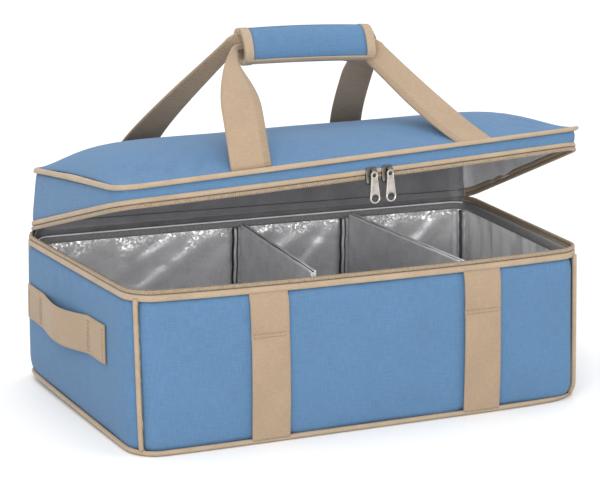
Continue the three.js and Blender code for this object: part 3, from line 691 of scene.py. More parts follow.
def lean_case(points):
    """Points of the slack case, whose corners are drawn in at the base."""
    x, y, z = (np.asarray(points, float)[..., i] for i in range(3))
    near = np.abs(2 * x / WIDTH) ** 8 * np.abs(2 * y / DEPTH) ** 8
    near = np.where((x < 0) & (y < 0), BASE_SHARP * near, near)
    tuck = BASE_TUCK * near * np.clip(1 - z / BASE_TUCK_HEIGHT, 0, 1) ** 2
    drawn = np.stack([x - np.sign(x) * tuck, y - np.sign(y) * tuck, z], -1)
    return lean(drawn, np.clip(z / HEIGHT, 0, 1), CASE_LEAN)


def facing(angle):
    """How far a wall faces the front, the back and an end, from 0 to 1."""
    front = np.clip(-np.sin(angle), 0, 1) ** 2
    back = np.clip(np.sin(angle), 0, 1) ** 2
    return front, back, np.cos(angle) ** 2


def slack(place, length):
    """How freely a wall swells, from 0 at its ends to 1 halfway along its length."""
    return np.clip(1 - np.abs(place / (length / 2)) ** 3, 0, 1)


def case_at(st, inset, z, follow=1.0):
    """Points on the soft case, which swells outwards and sags. follow is a layer's share of the swell."""
    x, y, angle, inset, z = spread(st, inset, z)
    front, back, ends = facing(angle)
    across, along = slack(x, WIDTH), slack(y, DEPTH)
    level = np.clip(z / HEIGHT, 0, 1)
    belly = np.sin(level * math.pi) ** 0.9
    out = front * across * (FRONT_BELLY * belly + RIM_BOW * level**2)
    out = out + back * across * BACK_BELLY * belly + ends * along * END_BELLY * belly
    drop = front * across**1.5 * RIM_SAG * level**3
    return lean_case(inwards(st, inset - follow * out, z - drop))


def lid_plane(y):
    """Height of the closed CAD lid's edge."""
    return LID_REAR - math.tan(LID_SLOPE) * (DEPTH / 2 - y)


def lid_top(x, y):
    """Height of the closed lid's edge, which is slack along its front."""
    forward = np.clip(0.5 - y / DEPTH, 0, 1) ** 2
    return lid_plane(y) - (LID_FRONT_DROP + LID_RIGHT_DROP * x / (WIDTH / 2)) * forward


def lean_lid(points):
    """Points of the slack lid, whose corners are drawn out to a tighter turn at its top."""
    x, y, z = (np.asarray(points, float)[..., i] for i in range(3))
    level = np.clip(z / lid_top(x, y), 0, 1)
    apart = (np.abs(x) - WIDTH / 2) ** 2 + (np.abs(y) - DEPTH / 2) ** 2
    size = np.where(y < 0, LID_SQUARE, LID_SQUARE_BACK)
    push = size * np.exp(-apart / LID_SQUARE_REACH**2) * level**2
    drawn = np.stack([x + np.sign(x) * push, y + np.sign(y) * push, z], -1)
    return lean(drawn, level, LID_LEAN)


def open_lid(points, rim=HEIGHT):
    """Turns closed-lid points about the hinge to where the slack lid stands, its right end higher."""
    points = np.asarray(points, float)
    y, z = points[..., 1] - HINGE_Y, points[..., 2]
    angle = LID_OPEN + LID_TWIST * points[..., 0] / (WIDTH / 2)
    sin, cos = np.sin(angle), np.cos(angle)
    return np.stack([points[..., 0], HINGE_Y + y * cos + z * sin, rim - y * sin + z * cos], -1)


def lid_at(st, inset, z, follow=1.0):
    """Points on the soft lid's walls, with z counted up from the parting plane of the closed lid."""
    x, y, angle, inset, z = spread(st, inset, z)
    front, back, ends = facing(angle)
    across, along = slack(x, WIDTH), slack(y, DEPTH)
    level = np.clip(z / lid_top(x, y), 0, 1)
    belly = np.sin(level * math.pi) ** 0.8
    out = LID_BELLY * belly * ((front + back) * across + 1.2 * ends * along)
    drop = front * across**1.5 * LID_SAG * (1 - level)
    return open_lid(lean_lid(inwards(st, inset - follow * out, z - drop)))


def handle_at(points):
    """Points drawn on the lid's top plane: x from the handles' middle, back from the front edge, up."""
    points = np.asarray(points, float)
    x, q, n = points[..., 0], points[..., 1], points[..., 2]
    sin, cos = math.sin(LID_SLOPE), math.cos(LID_SLOPE)
    y = -DEPTH / 2 + q * cos - n * sin
    return open_lid(np.stack([x + HANDLE_X, y, LID_FRONT + q * sin + n * cos], -1))


def skin(st, levels, outer, inner, at, follow=1.0):
    """A cloth wall between two faces. levels, outer and inner are (stations, levels) arrays."""
    levels, outer, inner = np.broadcast_arrays(levels, outer, inner)
    inset = np.concatenate([outer, inner[:, ::-1]], 1)
    z = np.concatenate([levels, levels[:, ::-1]], 1)
    return loft(at(st, inset, z, follow), st[:, 3])


def band(st, profile, at, closed=False, follow=1.0):
    """A strip of constant section, given as (inset, z) points, along stations."""
    inset, z = np.asarray(profile, float).T[:, None]
    return loft(at(st, inset, z, follow), st[:, 3], closed)


def piping(at, z):
    """Piping round the whole plan; z is a level, or one level for each station."""
    angle = np.arange(12) * TURN / 12
    level = np.broadcast_to(z, len(LOOP))[:, None] + PIPING * np.sin(angle)
    return loft(at(LOOP, -PIPING_OUT - PIPING * np.cos(angle), level), LOOP[:, 3], True)


# Case: base, walls and lining


def seam_pinch(distance, depth, reach):
    """How deep a seam draws the cloth in at a distance from it."""
    return depth * np.exp(-((distance / reach) ** 2))


# Dents of the left end under its rim and beside its handle, as y, z, y, z, width, height, and of the front
LEFT_DENTS = [
    (38, 120, 34, 92, 3.2, -1.5),
    (6, 121, 2, 96, 2.6, -1.2),
    (-30, 58, -34, 30, 3.5, -0.9),
    (70, 60, 62, 40, 4.0, -0.8),
]
FRONT_DENTS = [
    (-60, 120, -30, 100, 5.0, -0.7),
    (60, 118, 84, 96, 5.0, -0.8),
    (-150, 30, -190, 16, 6.0, -0.7),
    (165, 26, 196, 14, 6.0, -0.7),
    (20, 20, 70, 12, 5.0, -0.5),
]


def wall_swell(name, st, z, top):
    """Small cloth relief of an outer wall: seams drawn in, puckers under the zip, soft dents."""
    x, y, _, run = (st[:, i][:, None] for i in range(4))
    swell = -seam_pinch(z - PANEL_LOW, 1.0, 3.0) - seam_pinch(top - z, 2.4, 4.4)
    swell = swell - seam_pinch(run, 1.4, 3.2) - seam_pinch(st[-1, 3] - run, 1.4, 3.2)
    seed = 3.1 * SIDES[name]
    swell = swell + 0.8 * wander(run, z, seed, 62.0) + 0.35 * wander(run, z, seed + 9, 21.0)
    pucker = np.sin(TURN * run / 19.0 + 3 * wander(run, 0 * run, seed + 4, 45.0))
    swell = swell + 0.32 * pucker * np.exp(-(top - z) / 10.0)
    if name in ("front", "back"):
        for strap in STRAP_X:
            swell = swell - 1.5 * np.exp(-(((np.abs(x - strap) - STRAP_WIDTH / 2 - 0.6) / 1.8) ** 2))
    if name == "front":
        swell = swell + creases(x, z, FRONT_DENTS)
    if name == "left":
        swell = swell + creases(y, z, LEFT_DENTS)
    return swell


# Folds of the lining, along the wall and up it: start, end, width and height
LINER_FOLDS = {
    "back": [
        (-30, 124, -128, 52, 8.0, 3.4),
        (-62, 124, -150, 70, 6.0, 2.6),
        (-104, 124, -126, 92, 4.5, 1.8),
        (-158, 124, -182, 76, 6.0, 2.0),
        (62, 124, -8, 66, 7.0, 3.0),
        (84, 124, 34, 60, 6.0, 2.8),
        (22, 124, -12, 96, 4.5, 2.0),
        (196, 124, 128, 62, 7.0, 3.2),
        (152, 124, 112, 82, 5.0, 2.4),
        (204, 120, 182, 66, 5.0, 1.8),
    ],
    "right": [
        (86, 122, 90, 40, 4.5, 2.6),
        (62, 122, 70, 24, 4.0, 3.0),
        (44, 122, 46, 60, 3.5, 2.2),
        (24, 122, 20, 20, 4.5, 3.0),
        (2, 122, -4, 70, 3.5, 2.2),
        (-20, 122, -30, 30, 4.5, 2.8),
        (-48, 122, -52, 66, 4.0, 2.2),
        (-74, 122, -82, 40, 4.5, 2.4),
    ],
    "left": [(0, 118, 20, 60, 8.0, 1.6)],
    "front": [(-60, 118, -30, 50, 9.0, 1.6), (80, 118, 110, 60, 9.0, 1.6)],
}


def liner_swell(name, st, z, top):
    """How far the loose lining stands into the bag from its foam."""
    x, y, _, run = (st[:, i][:, None] for i in range(4))
    place = x if name in ("front", "back") else y
    seed = 20.0 + 2.3 * SIDES[name]
    rough = wander(run, z, seed, 24.0) + 0.6 * wander(run, z, seed + 5, 10.0)
    ridge = np.clip(1 - 2.2 * np.abs(rough), 0, 1) ** 2
    near_top = np.exp(-((top - z) / 26.0))
    swell = 0.5 + 0.5 * rough + ridge * (0.5 + 1.1 * near_top)
    swell = swell + creases(place, z, LINER_FOLDS[name])
    edge = np.clip((top - z) / 6.0, 0, 1) * np.clip((z - PANEL_LOW) / 8.0, 0, 1)
    return np.clip(swell, 0, 4.0) * edge


def add_case_cloth():
    """The outer cloth, the foam and the lining of each wall."""
    for name, quadrant in SIDES.items():
        st = side(name, PIPING + GAP)
        top = HEIGHT - 0.4 if name == "back" else HEIGHT - CLOTH_EDGE
        z = np.linspace(PANEL_LOW, top, 27)[None]
        swell = wall_swell(name, st, z, top)
        panel = skin(st, z, -swell, FABRIC - swell, case_at)
        obj = piece(f"{name}_cloth", [panel], cloth_blue, "case", [f"{name}_panel"])

        st = stations([corner(quadrant)[-1:], corner(quadrant + 1)[:1]], 12.0)
        z = np.linspace(FOAM_LOW, LAYER_TOP, 9)[None]
        foam = skin(st, z, FOAM_IN + 0.9, FOAM_IN + FOAM, case_at, INNER_FOLLOW)
        obj = piece(f"{name}_padding", [foam], foam_white, "case", [f"{name}_foam"])

        st = side(name, GAP)
        z = np.linspace(LINER_LOW, LAYER_TOP, 40)[None]
        swell = liner_swell(name, st, z, LAYER_TOP)
        liner = skin(st, z, LINER_IN, INNER_IN + swell, case_at, INNER_FOLLOW)
        # The right wall's lining has upright bands of painted sheen and shade.
        foil = foil_fold_shaded if name == "right" else foil_bright
        obj = piece(f"{name}_lining", [liner], foil, "case", [f"{name}_liner"])


SEAM_LOW, SEAM_TOP = 6.0, HEIGHT - 13.0
WELT_LOW, WELT_TOP = 3.6, HEIGHT - CLOTH_EDGE + 1.2


def corner_line(quadrant, turn, inset, z, follow=1.0):
    """Points up a corner of the case, at a share of the corner's turn."""
    st = np.repeat(corner(quadrant, turn, turn, 1)[:1], len(z), 0)
    return case_at(st, inset, z, follow)


def add_lining_seams():
    """Rolled seams of the lining in the back corners, with a dark rod beside each that paints the shadow of
    the groove there. A seam has its place round the corner, its depth into the bag, its radius and its
    material."""
    seams = {
        "roll": (0.78, 2.6, 3.0, foil_mid),
        "groove": (0.5, 1.6, 1.2, seam_shadow),
        "hem": (0.26, 2.2, 2.2, foil_smooth),
    }
    z = np.linspace(SEAM_LOW, SEAM_TOP, 40)
    for quadrant, hand in ((0, "right"), (1, "left")):
        for part, (turn, depth, radius, material) in seams.items():
            turn = turn if quadrant == 0 else 1 - turn
            inset = INNER_IN + depth + 0.35 * np.sin(z / 2.3)
            path = corner_line(quadrant, turn, inset, z, INNER_FOLLOW)
            piece(f"lining_{part}_{hand}", [tube(path, radius)], material, "case", ())


def add_base():
    """The bottom cloth, the board in it, the floor of the lining and the piping round it."""
    place = lambda x, y, z: lean_case(np.stack([x, y, z], 1))
    floor_top = lambda x, y: FLOOR_TOP + (0.5 * wander(x, y, 40.0, 55.0)).clip(0, 1)
    scales = [1.0, 0.985, 0.9, 0.7, 0.4]
    under = slab(scales, SEAM_IN, FABRIC, 0.0, place)
    obj = piece("base_cloth", [under], cloth_blue, "case", ["base_panel"])
    board = slab([1.0, 0.997, 0.9], SEAM_IN + 2.0, BOARD_TOP, BOARD_LOW, place)
    piece("base_stiffener", [board], board_grey, "case", ["base_board"])
    floor = slab(scales, INNER_IN + GAP, floor_top, FOAM_LOW, place)
    obj = piece("base_lining", [floor], foil_smooth, "case", ["base_liner"])
    piece("base_welt", [piping(case_at, BASE_PIPING_Z)], trim_sand, "case", ["base_piping"])


def add_corner_welts():
    z = np.linspace(WELT_LOW, WELT_TOP, 40)
    for quadrant, name in enumerate(("back_right", "back_left", "front_left", "front_right")):
        welt = tube(corner_line(quadrant, 0.5, -PIPING_OUT - 0.2, z), PIPING, sides=12)
        piece(f"welt_{name}", [welt], trim_sand, "case", [f"corner_piping_{name}"])


ZIP_REACH = {"case": 9.5, "lid": 8.0}


def add_zip(body, at, level, sign):
    """Half of the zip: its tape, its coil and the stay behind them. The sections are (inset, z) points, z
    being counted from the parting plane at level by sign."""
    reach = ZIP_REACH[body]
    tape = [
        (1.4, reach), (0.5, reach), (-0.1, reach - 0.5), (-0.42, reach - 1.6), (-0.45, 6.0), (-0.3, 4.8),
        (0.3, 4.2), (1.4, 4.1),
    ]
    coil = [
        (3.0, 3.7), (1.2, 3.7), (0.3, 3.5), (-0.2, 2.9), (-0.35, 2.0), (-0.25, 1.1), (0.2, 0.5),
        (1.2, 0.3), (2.4, 0.4), (3.1, 1.0),
    ]
    stay = [(3.0, 7.6), (2.1, 7.6), (1.7, 5.0), (1.7, 3.6), (2.9, 3.4), (3.3, 5.0)]
    for name, section, material, nodes in (
        ("tape", tape, trim_sand, [f"{body}_zip_tape"]),
        ("coil", coil, coil_sand, [f"{body}_zip_coil"]),
        ("zip_stay", stay, trim_sand, ()),
    ):
        strip = band(ZIP, [(inset, level + sign * z) for inset, z in section], at)
        piece(f"{body}_{name}", [strip], material, body, nodes)


def add_rim_tape():
    """The binding over the upper edge of the lining. Its section runs up behind the lining's edge, over the
    foam and down its own face inside the bag."""
    top = HEIGHT - 5.2
    behind = [(3.0, -6.6), (1.2, -6.4), (0.2, -3.0), (-1.2, -1.4)]
    over = [(4.2, top - 1.0), (3.4, top - 0.5), (3.6, top + 0.1), (5.0, top + 0.3)]
    face = [(0.4, 0.0), (1.7, -1.2), (2.5, -3.0), (3.1, -5.0)]
    from_lining = lambda points: [(INNER_IN + inset, top + z) for inset, z in points]
    ring = band(LOOP, from_lining(behind) + over + from_lining(face), case_at, True, 0.9)
    piece("rim_tape", [ring], binding_grey, "case", ["rim_binding"])


# Case: webbing


STRAP_SEAM, STRAP_SEAM_HALF = HEIGHT - 44.0, 16.0
STRAP_LOW = PANEL_LOW - 0.8
STRAP_TOP = {"front": HEIGHT - CLOTH_EDGE - 0.2, "back": HEIGHT - 15.8}


def strap_relief(z, high):
    """How far a wall strap stands off, drawn in at its cross seam and at its upper end."""
    return 0.4 - 0.8 * math.exp(-((z - STRAP_SEAM) / 3.0) ** 2) - seam_pinch(high - z, 2.0, 5.0)


def wall_strap(centre, way, high):
    """A webbing strap sewn flat on the front (way -1) or back (way 1) wall."""
    section = flat_section(STRAP_WIDTH, STRAP_THICK, 11)
    z = np.linspace(STRAP_LOW, high, 48)
    rings = []
    for level in z:
        x = centre + section[:, 0] * (1 + 0.006 * math.sin(level / 17.0))
        lift = GAP + STRAP_THICK / 2 + strap_relief(level, high) + section[:, 1]
        rings.append(case_at(wall_row(x, way * DEPTH / 2, way * TURN / 4), -lift, level))
    return centre_across(loft(rings, z), STRAP_WIDTH / 2)


def add_wall_straps():
    for face, way in (("front", -1), ("back", 1)):
        high = STRAP_TOP[face]
        for hand, centre in zip(("left", "right"), STRAP_X):
            strap = wall_strap(centre, way, high)
            name = f"{face}_webbing_{hand}"
            obj = piece(name, [strap], webbing_beige, "case", [f"{face}_strap_{hand}"])
            rows = []
            x = np.linspace(centre - STRAP_SEAM_HALF, centre + STRAP_SEAM_HALF, 12)
            st = wall_row(x, way * DEPTH / 2, way * TURN / 4)
            for level in (STRAP_SEAM - 1.6, STRAP_SEAM + 1.6):
                path = case_at(st, -GAP - STRAP_THICK - strap_relief(level, high), level + 0 * x)
                rows += stitch_row(path, 2.4, 3.3, 0.34, (0, way, 0))
            thread = piece(f"{name}_thread", rows, thread_sand, "case", ())


SIDE_Y, SIDE_Z, SIDE_WIDTH = 14.0, 76.0, 33.0
SIDE_LOOP, SIDE_TAB, SIDE_BULGE = 100.0, 33.0, 6.5
SIDE_SLANT, SIDE_SAG, SIDE_SEAM_HALF = 3.0, 2.2, 13.5


def side_slant(y):
    """How the end handles slant: rise of their middle line at y from the handle's middle."""
    return -SIDE_SLANT * np.clip(y / (SIDE_LOOP / 2), -1, 1)


def add_side_handles():
    """A loop of webbing on each end, sewn down at both of its tabs."""
    section = flat_section(SIDE_WIDTH, STRAP_THICK, 11)
    half, reach = SIDE_LOOP / 2, SIDE_LOOP / 2 + SIDE_TAB
    tab = np.linspace(half + 1, reach, 12)
    y = np.concatenate([-tab[::-1], np.linspace(-half, half, 46), tab])
    t = np.clip(y / SIDE_LOOP + 0.5, 0, 1)
    bow = SIDE_BULGE * np.sin(t * math.pi) ** 1.3
    tilt = side_slant(y) - SIDE_SAG * np.sin(t * math.pi)
    seams = [3 - reach, -half - 3.5, -half - 0.5, half + 0.5, half + 3.5, reach - 3]
    for hand, way, angle in (("left", -1, TURN / 2), ("right", 1, 0.0)):
        rings = []
        for k, place in enumerate(y + SIDE_Y):
            z = SIDE_Z + tilt[k] + section[:, 0]
            curl = 0.8 * (section[:, 0] / (SIDE_WIDTH / 2)) ** 2 * math.sin(t[k] * math.pi)
            lift = GAP + STRAP_THICK / 2 + 0.3 + bow[k] - curl + section[:, 1]
            rings.append(case_at(wall_row(way * WIDTH / 2, place + 0 * z, angle), -lift, z))
        part = centre_across(loft(rings), SIDE_WIDTH / 2)
        nodes = [f"side_handle_{hand}"]
        obj = piece(f"end_webbing_{hand}", [part], webbing_beige, "case", nodes)
        rows = []
        for seam in seams:
            z = np.linspace(-SIDE_SEAM_HALF, SIDE_SEAM_HALF, 10) + SIDE_Z + side_slant(seam)
            st = wall_row(way * WIDTH / 2, SIDE_Y + seam + 0 * z, angle)
            path = case_at(st, -GAP - STRAP_THICK - 0.35, z)
            rows += stitch_row(path, 2.2, 3.1, 0.32, (way, 0, 0))
        thread = piece(f"end_thread_{hand}", rows, thread_sand, "case", ())


# Dividers

DIVIDER_X, DIVIDER_TURN = (-23.0, 82.0), (-0.4, 7.6)
DIVIDER_Y, DIVIDER_LENGTH, DIVIDER_THICK = 106.5, (172.0, 190.0), 6.0
DIVIDER_LOW, DIVIDER_TOP = 10.4, 123.0
STRIP_LOW, STRIP_TOP, STRIP_BACK = 6.2, 122.0, 109.9


def divider_pad(x, length, middle):
    """A padded board with pinched ends, drawn forwards along -y from its strip."""
    ends = [0.5, 1.0, 2.4], [length - 2.5, length - 0.7, length]
    run = np.concatenate([ends[0], np.linspace(6, length - 6, 60), ends[1]])
    pinch = np.concatenate([[0.6, 0.86, 1.0], np.ones(60), [0.96, 0.8, 0.55]])
    profile = soft_box(0.25, 0.05 + DIVIDER_THICK, DIVIDER_LOW, DIVIDER_TOP - 0.6, 1.5, 4, 9)
    px, pz = profile.T
    puff = 0.45 * np.sin((pz - DIVIDER_LOW) / (DIVIDER_TOP - DIVIDER_LOW) * math.pi)
    rings = []
    for place, size in zip(-run, pinch):
        ripple = 0.35 * wander(place, pz, 60.0 + x, 30.0)
        wide = middle + (px - middle) * size * (1 + puff / 3.0) + ripple
        rings.append(np.stack([wide, 0 * pz + place, pz], 1))
    return loft(rings, run)


def divider_edges(length, middle):
    """Two welts along a divider's top and three beaded ones down its free end, and the line of the groove on
    top, along which a near-black strip paints the groove's shadow.
    """
    run = np.linspace(-2.0, 1.0 - length, 70)
    level = 0 * run + DIVIDER_TOP
    paths = [np.stack([middle + k + 0.2 * np.sin(run / 7.0 + k), run, level - 0.5], 1) for k in (-2.0, 2.0)]
    welts = [(path, 1.1) for path in paths]
    z = np.linspace(DIVIDER_TOP - 0.8, DIVIDER_LOW + 1, 60)
    for offset in (-1.6, 0.0, 1.6):
        bead = 0.35 * np.sin(z / 1.7 + 2 * offset)
        welts.append((np.stack([middle + offset + bead, 0 * z - length - 0.3, z], 1), 0.95))
    return welts, np.stack([0 * run + middle, run, level - 0.6], 1)


def add_divider(hand, x, turn, length):
    body = f"divider_{hand}"
    middle = 0.15 + DIVIDER_THICK / 2
    spin = np.array(Matrix.Rotation(math.radians(turn), 3, "Z"))
    place = lambda points: np.asarray(points, float) @ spin.T + np.array([x, DIVIDER_Y, 0.0])
    pad = moved(divider_pad(x, length, middle), place)
    obj = piece(f"{body}_pad", [pad], foil_smooth, body, [f"divider_panel_{hand}"])
    welts, top = divider_edges(length, middle)
    # A near-black strip along the top paints the groove's shadow.
    groove = ribbon(place(top), 2.4, 0.5, (1, 0, 0))
    piece(f"{body}_groove", [groove], gap_shadow, body, ())
    # The welts take the light foil as painted highlights of the lit edges.
    edges = [tube(place(path), radius, (1, 0, 0), 8) for path, radius in welts]
    piece(f"{body}_edge", edges, foil_highlight, body, ())

    # The flange is drawn near-black, the painted shadow of the gaps beside its lighter fold.
    strips = {
        "flange": (x - 6.0, x - 0.3, 107.9, gap_shadow, [f"divider_strip_{hand}"]),
        "fold": (x - 4.4, x - 1.8, 106.8, foil_smooth, ()),
    }
    for name, (left, right, deep, material, nodes) in strips.items():
        strip = soft_box(left, right, deep, STRIP_BACK, 0.9, 3, 2)
        rings = []
        for k, z in enumerate(np.linspace(STRIP_LOW, STRIP_TOP, 24)):
            wave = 0.25 * math.sin(k * 1.3)
            rings.append(np.column_stack([strip + (wave, 0.0), np.full(len(strip), z)]))
        placed = lean_case(rings)
        placed[..., 0] = np.array(rings)[..., 0]
        piece(f"{body}_{name}", [loft(placed)], material, "case", nodes)


# Lid

LID_WALL_LOW, LID_BACK_LOW, LID_WALL_DROP = 7.6, 0.4, 4.2
LID_LINER_LOW, LID_LINER_DROP = 3.9, 5.6

# Creases of the dome: x, y, x, y, width, height
LID_CREASES = [
    (-120, -116, -152, -62, 11.0, -1.8),
    (-58, -116, -46, -66, 10.0, -1.5),
    (90, -116, 40, -66, 11.0, -1.8),
    (146, -116, 164, -66, 10.0, -1.5),
    (-196, -104, -160, -62, 5.0, -3.2),
    (-186, -112, -166, -80, 4.0, 2.0),
    (-170, -112, -144, -80, 4.6, -2.8),
    (-204, -84, -172, -62, 4.5, -2.2),
    (-146, -114, -124, -86, 4.2, -2.4),
    (196, -104, 166, -70, 4.6, -2.6),
    (182, -112, 158, -86, 4.0, -1.8),
    (-196, 100, -160, 62, 5.0, -1.8),
    (196, 100, 160, 60, 5.0, -1.8),
]
CROWN_SCALES = [1.0, 0.992, 0.98, 0.965, 0.945, 0.92, 0.89, 0.855, 0.815, 0.77, 0.72, 0.66, 0.6, 0.53, 0.46,
                0.38, 0.3, 0.2, 0.1]


def crown(x, y):
    """Height of the dome over the lid's edge."""
    across = 1 - np.abs(x / (WIDTH / 2)) ** CROWN_X_POWER
    along = 1 - np.abs(y / (DEPTH / 2)) ** CROWN_Y_POWER
    return CROWN * (1 - CROWN_TILT * x / (WIDTH / 2)) * across * along


def lid_place(x, y, z):
    """Points of the closed lid where the slack, open lid has them."""
    return open_lid(lean_lid(np.stack([x, y, z], 1)))


def dome(x, y):
    """The lid's outer cloth: crowned, a little uneven, creased at its corners."""
    relief = 0.9 * wander(x, y, 70.0, 80.0) + creases(x, y, LID_CREASES)
    rim = np.clip(crown(x, y) / 3.0, 0, 1)
    return lid_top(x, y) - 1.5 + crown(x, y) + relief * rim


def add_lid_top():
    layers = {
        "lid_cloth": (0.0, FABRIC, cloth_blue, "lid_top_panel", "cloth"),
        "lid_padding": (FABRIC + GAP, FOAM - 0.8, foam_white, "lid_foam", "foam"),
        # The lid's lining takes the darkened foil: painted shade under the lid.
        "lid_lining": (FABRIC + 2 * GAP + FOAM, FOIL, foil_shaded, "lid_liner", "foil"),
    }
    for name, (drop, thick, material, node, slot) in layers.items():
        top = lambda x, y: dome(x, y) - drop
        bottom = lambda x, y: top(x, y) - thick
        part = slab(CROWN_SCALES, SEAM_IN, top, bottom, lid_place)
        obj = piece(name, [part], material, "lid", [node])


def add_lid_walls():
    """The piping round the lid's top, and the cloth and the lining of the walls below it."""
    welt = piping(lid_at, lid_top(LOOP[:, 0], LOOP[:, 1]) - PIPING)
    piece("lid_welt", [welt], trim_sand, "lid", ["lid_piping"])
    for name, st, low, node in (
        ("lid_wall", ZIP, LID_WALL_LOW, "lid_gusset"),
        ("lid_back_wall", side("back", GAP), LID_BACK_LOW, "lid_back_gusset"),
    ):
        x, y, _, run = (st[:, i][:, None] for i in range(4))
        high = lid_top(x, y) - LID_WALL_DROP
        z = low + (high - low) * np.linspace(0, 1, 15)[None]
        swell = -seam_pinch(z - low, 0.7, 2.5) - seam_pinch(high - z, 0.7, 2.5)
        pucker = 0.25 * np.sin(TURN * run / 23.0) * (z - low) / high
        swell = swell + 0.5 * wander(run, z, 81.0, 40.0) + pucker
        wall = skin(st, z, -swell, FABRIC - swell, lid_at)
        obj = piece(name, [wall], cloth_blue, "lid", [node])

    most = stations([corner(0, 0.5, 1.0), corner(1), corner(2), corner(3, 0.0, 0.5)])
    # The lid's wall lining takes the darkened foil as painted shade, and its right end a lighter foil as
    # painted light.
    for name, st, material, nodes in (
        ("lid_wall_lining", most, foil_shaded, ["lid_gusset_lining"]),
        ("lid_end_lining", side("right", 0.0), foil_mid, ()),
    ):
        x, y, _, run = (st[:, i][:, None] for i in range(4))
        low, high = LID_LINER_LOW, lid_top(x, y) - LID_LINER_DROP
        z = low + (high - low) * np.linspace(0, 1, 12)[None]
        rough = 0.5 + 0.5 * wander(run, z, 90.0, 20.0)
        part = skin(st, z, FOAM_IN, FOAM_IN + FOIL + 1.3 * rough, lid_at)
        obj = piece(name, [part], material, "lid", nodes)


def add_hinge():
    """Cloth outside and lining inside that carry the lid across its crease."""
    back, wide = side("back", 0.0), stations([corner(0, 0.4, 1.0), corner(1, 0.0, 0.8)])
    start = (0, HINGE_Y * MM, (HEIGHT - 2.0) * MM)
    end = (0, HINGE_Y * MM, (HEIGHT + 2.0) * MM)
    faces = {
        "hinge_cloth": (back, (-1.5, -0.7), 12.0, 12.0, cloth_blue, ("hinge_tape",), "cloth"),
        # The hinge lining takes the darkened foil: painted shade.
        "hinge_lining": (wide, (4.6, 5.2), 5.0, 7.0, foil_shaded, (), "foil"),
    }
    for name, (st, insets, below, above, material, nodes, slot) in faces.items():
        rings = []
        for station in st:
            row = station[None]
            ring = []
            for inset in insets:
                line = [case_at(row, inset, HEIGHT - z)[0] for z in np.linspace(below, 1.0, 9)]
                line += [lid_at(row, inset, z)[0] for z in np.linspace(1.0, above, 9)]
                ring += line if inset == insets[0] else line[::-1]
            rings.append(ring)
        part = loft(np.array(rings), st[:, 3])
        obj = piece(name, [part], material, None, nodes, ("case", "lid", start, end))
    # A fold along the rim in the light foil: a painted highlight.
    fold = [case_at(station[None], 8.6, HEIGHT - 5.3)[0] for station in wide]
    piece("rim_fold", [tube(fold, 0.7, (0, 0, 1), 8)], foil_highlight, "case", ())


# Carry handles and grip


def smooth(t, low, high):
    """A smooth step from 0 at low to 1 at high."""
    t = np.clip((t - low) / (high - low), 0, 1)
    return t * t * (3 - 2 * t)


STRAP_FOOT_IN, STRAP_FOOT_UP, STRAP_FOOT_X = 1.0, -1.4, 102.0
TOP_LENGTH = math.hypot(DEPTH, LID_REAR - LID_FRONT)

# A leg of a carry handle: shift of its foot, bow, hook beside the grip, bend into the grip, height of the
# entry, start and end of its fold, and its width at the foot and at the grip
Leg = namedtuple("Leg", "shift bow hook bend lift fold_start fold_end wide narrow")
HANDLE_LEGS = {
    "front": (
        Leg(2.0, (-2.0, 0.0, 15.0), -5.6, 3.0, 0.0, 0.33, 1.0, STRAP_WIDTH, 6.0),
        Leg(2.0, (-0.4, 0.0, -2.5), 0.0, 0.5, -6.8, 0.4, 0.97, 33.0, 23.0),
    ),
    "rear": (
        Leg(-20.0, (-19.0, 0.0, -4.0), 0.0, 2.0, 6.0, 0.15, 0.97, STRAP_WIDTH, 14.0),
        Leg(-15.0, (-11.0, 0.0, -3.0), 0.0, 0.5, 4.0, 0.7, 0.97, 31.0, 18.0),
    ),
}


def grip_rise(x):
    """Height of the slanting, slightly arched grip above its middle."""
    return GRIP_ARCH * (1 - (2 * x / GRIP_LENGTH) ** 2) - math.tan(GRIP_TILT) * x


def foot_height(x, q):
    """How far a strap's foot on the lid's slack edge stands above the lid's top plane."""
    y = -DEPTH / 2 + q * math.cos(LID_SLOPE)
    edge = lean_lid(np.array([[x + HANDLE_X, y, lid_top(x + HANDLE_X, y)]]))
    return float(edge[0, 2] - lid_plane(y)) + STRAP_FOOT_UP


def leg_path(foot_q, grip_q, hand, leg, count=44):
    """The middle line of one leg from its foot on the lid into the grip, the share of it before each point,
    and its upward direction. hand is -1 for the left leg and 1 for the right one."""
    foot_x = hand * STRAP_FOOT_X + leg.shift
    foot = np.array([foot_x, foot_q, foot_height(foot_x, foot_q)])
    entry_x = hand * (GRIP_LENGTH / 2 - 4.0)
    entry = np.array([entry_x + GRIP_X, grip_q, GRIP_N + grip_rise(entry_x) + leg.lift])
    up = np.array([0.0, grip_q - foot_q, GRIP_N - STRAP_FOOT_UP])
    up /= np.linalg.norm(up)
    knee = entry + np.array([hand * (leg.bend + 4), 0, 0]) - up * leg.bend
    turn = entry + np.array([hand * leg.bend * 0.6, 0, 0])
    straight = [foot + (knee - foot) * t for t in np.linspace(0, 1, 60)[:-1]]
    curve = [knee * (1 - t) ** 2 + turn * 2 * t * (1 - t) + entry * t * t for t in np.linspace(0, 1, 20)]
    path = np.array(straight + curve)
    t = np.linspace(0, 1, count)
    path = points_at(path, t * run_along(path)[-1])
    path[:, 0] += leg.hook * np.sin(t**2.6 * math.pi)
    return path + np.sin(t**0.65 * math.pi)[:, None] ** 1.1 * np.asarray(leg.bow), t, up


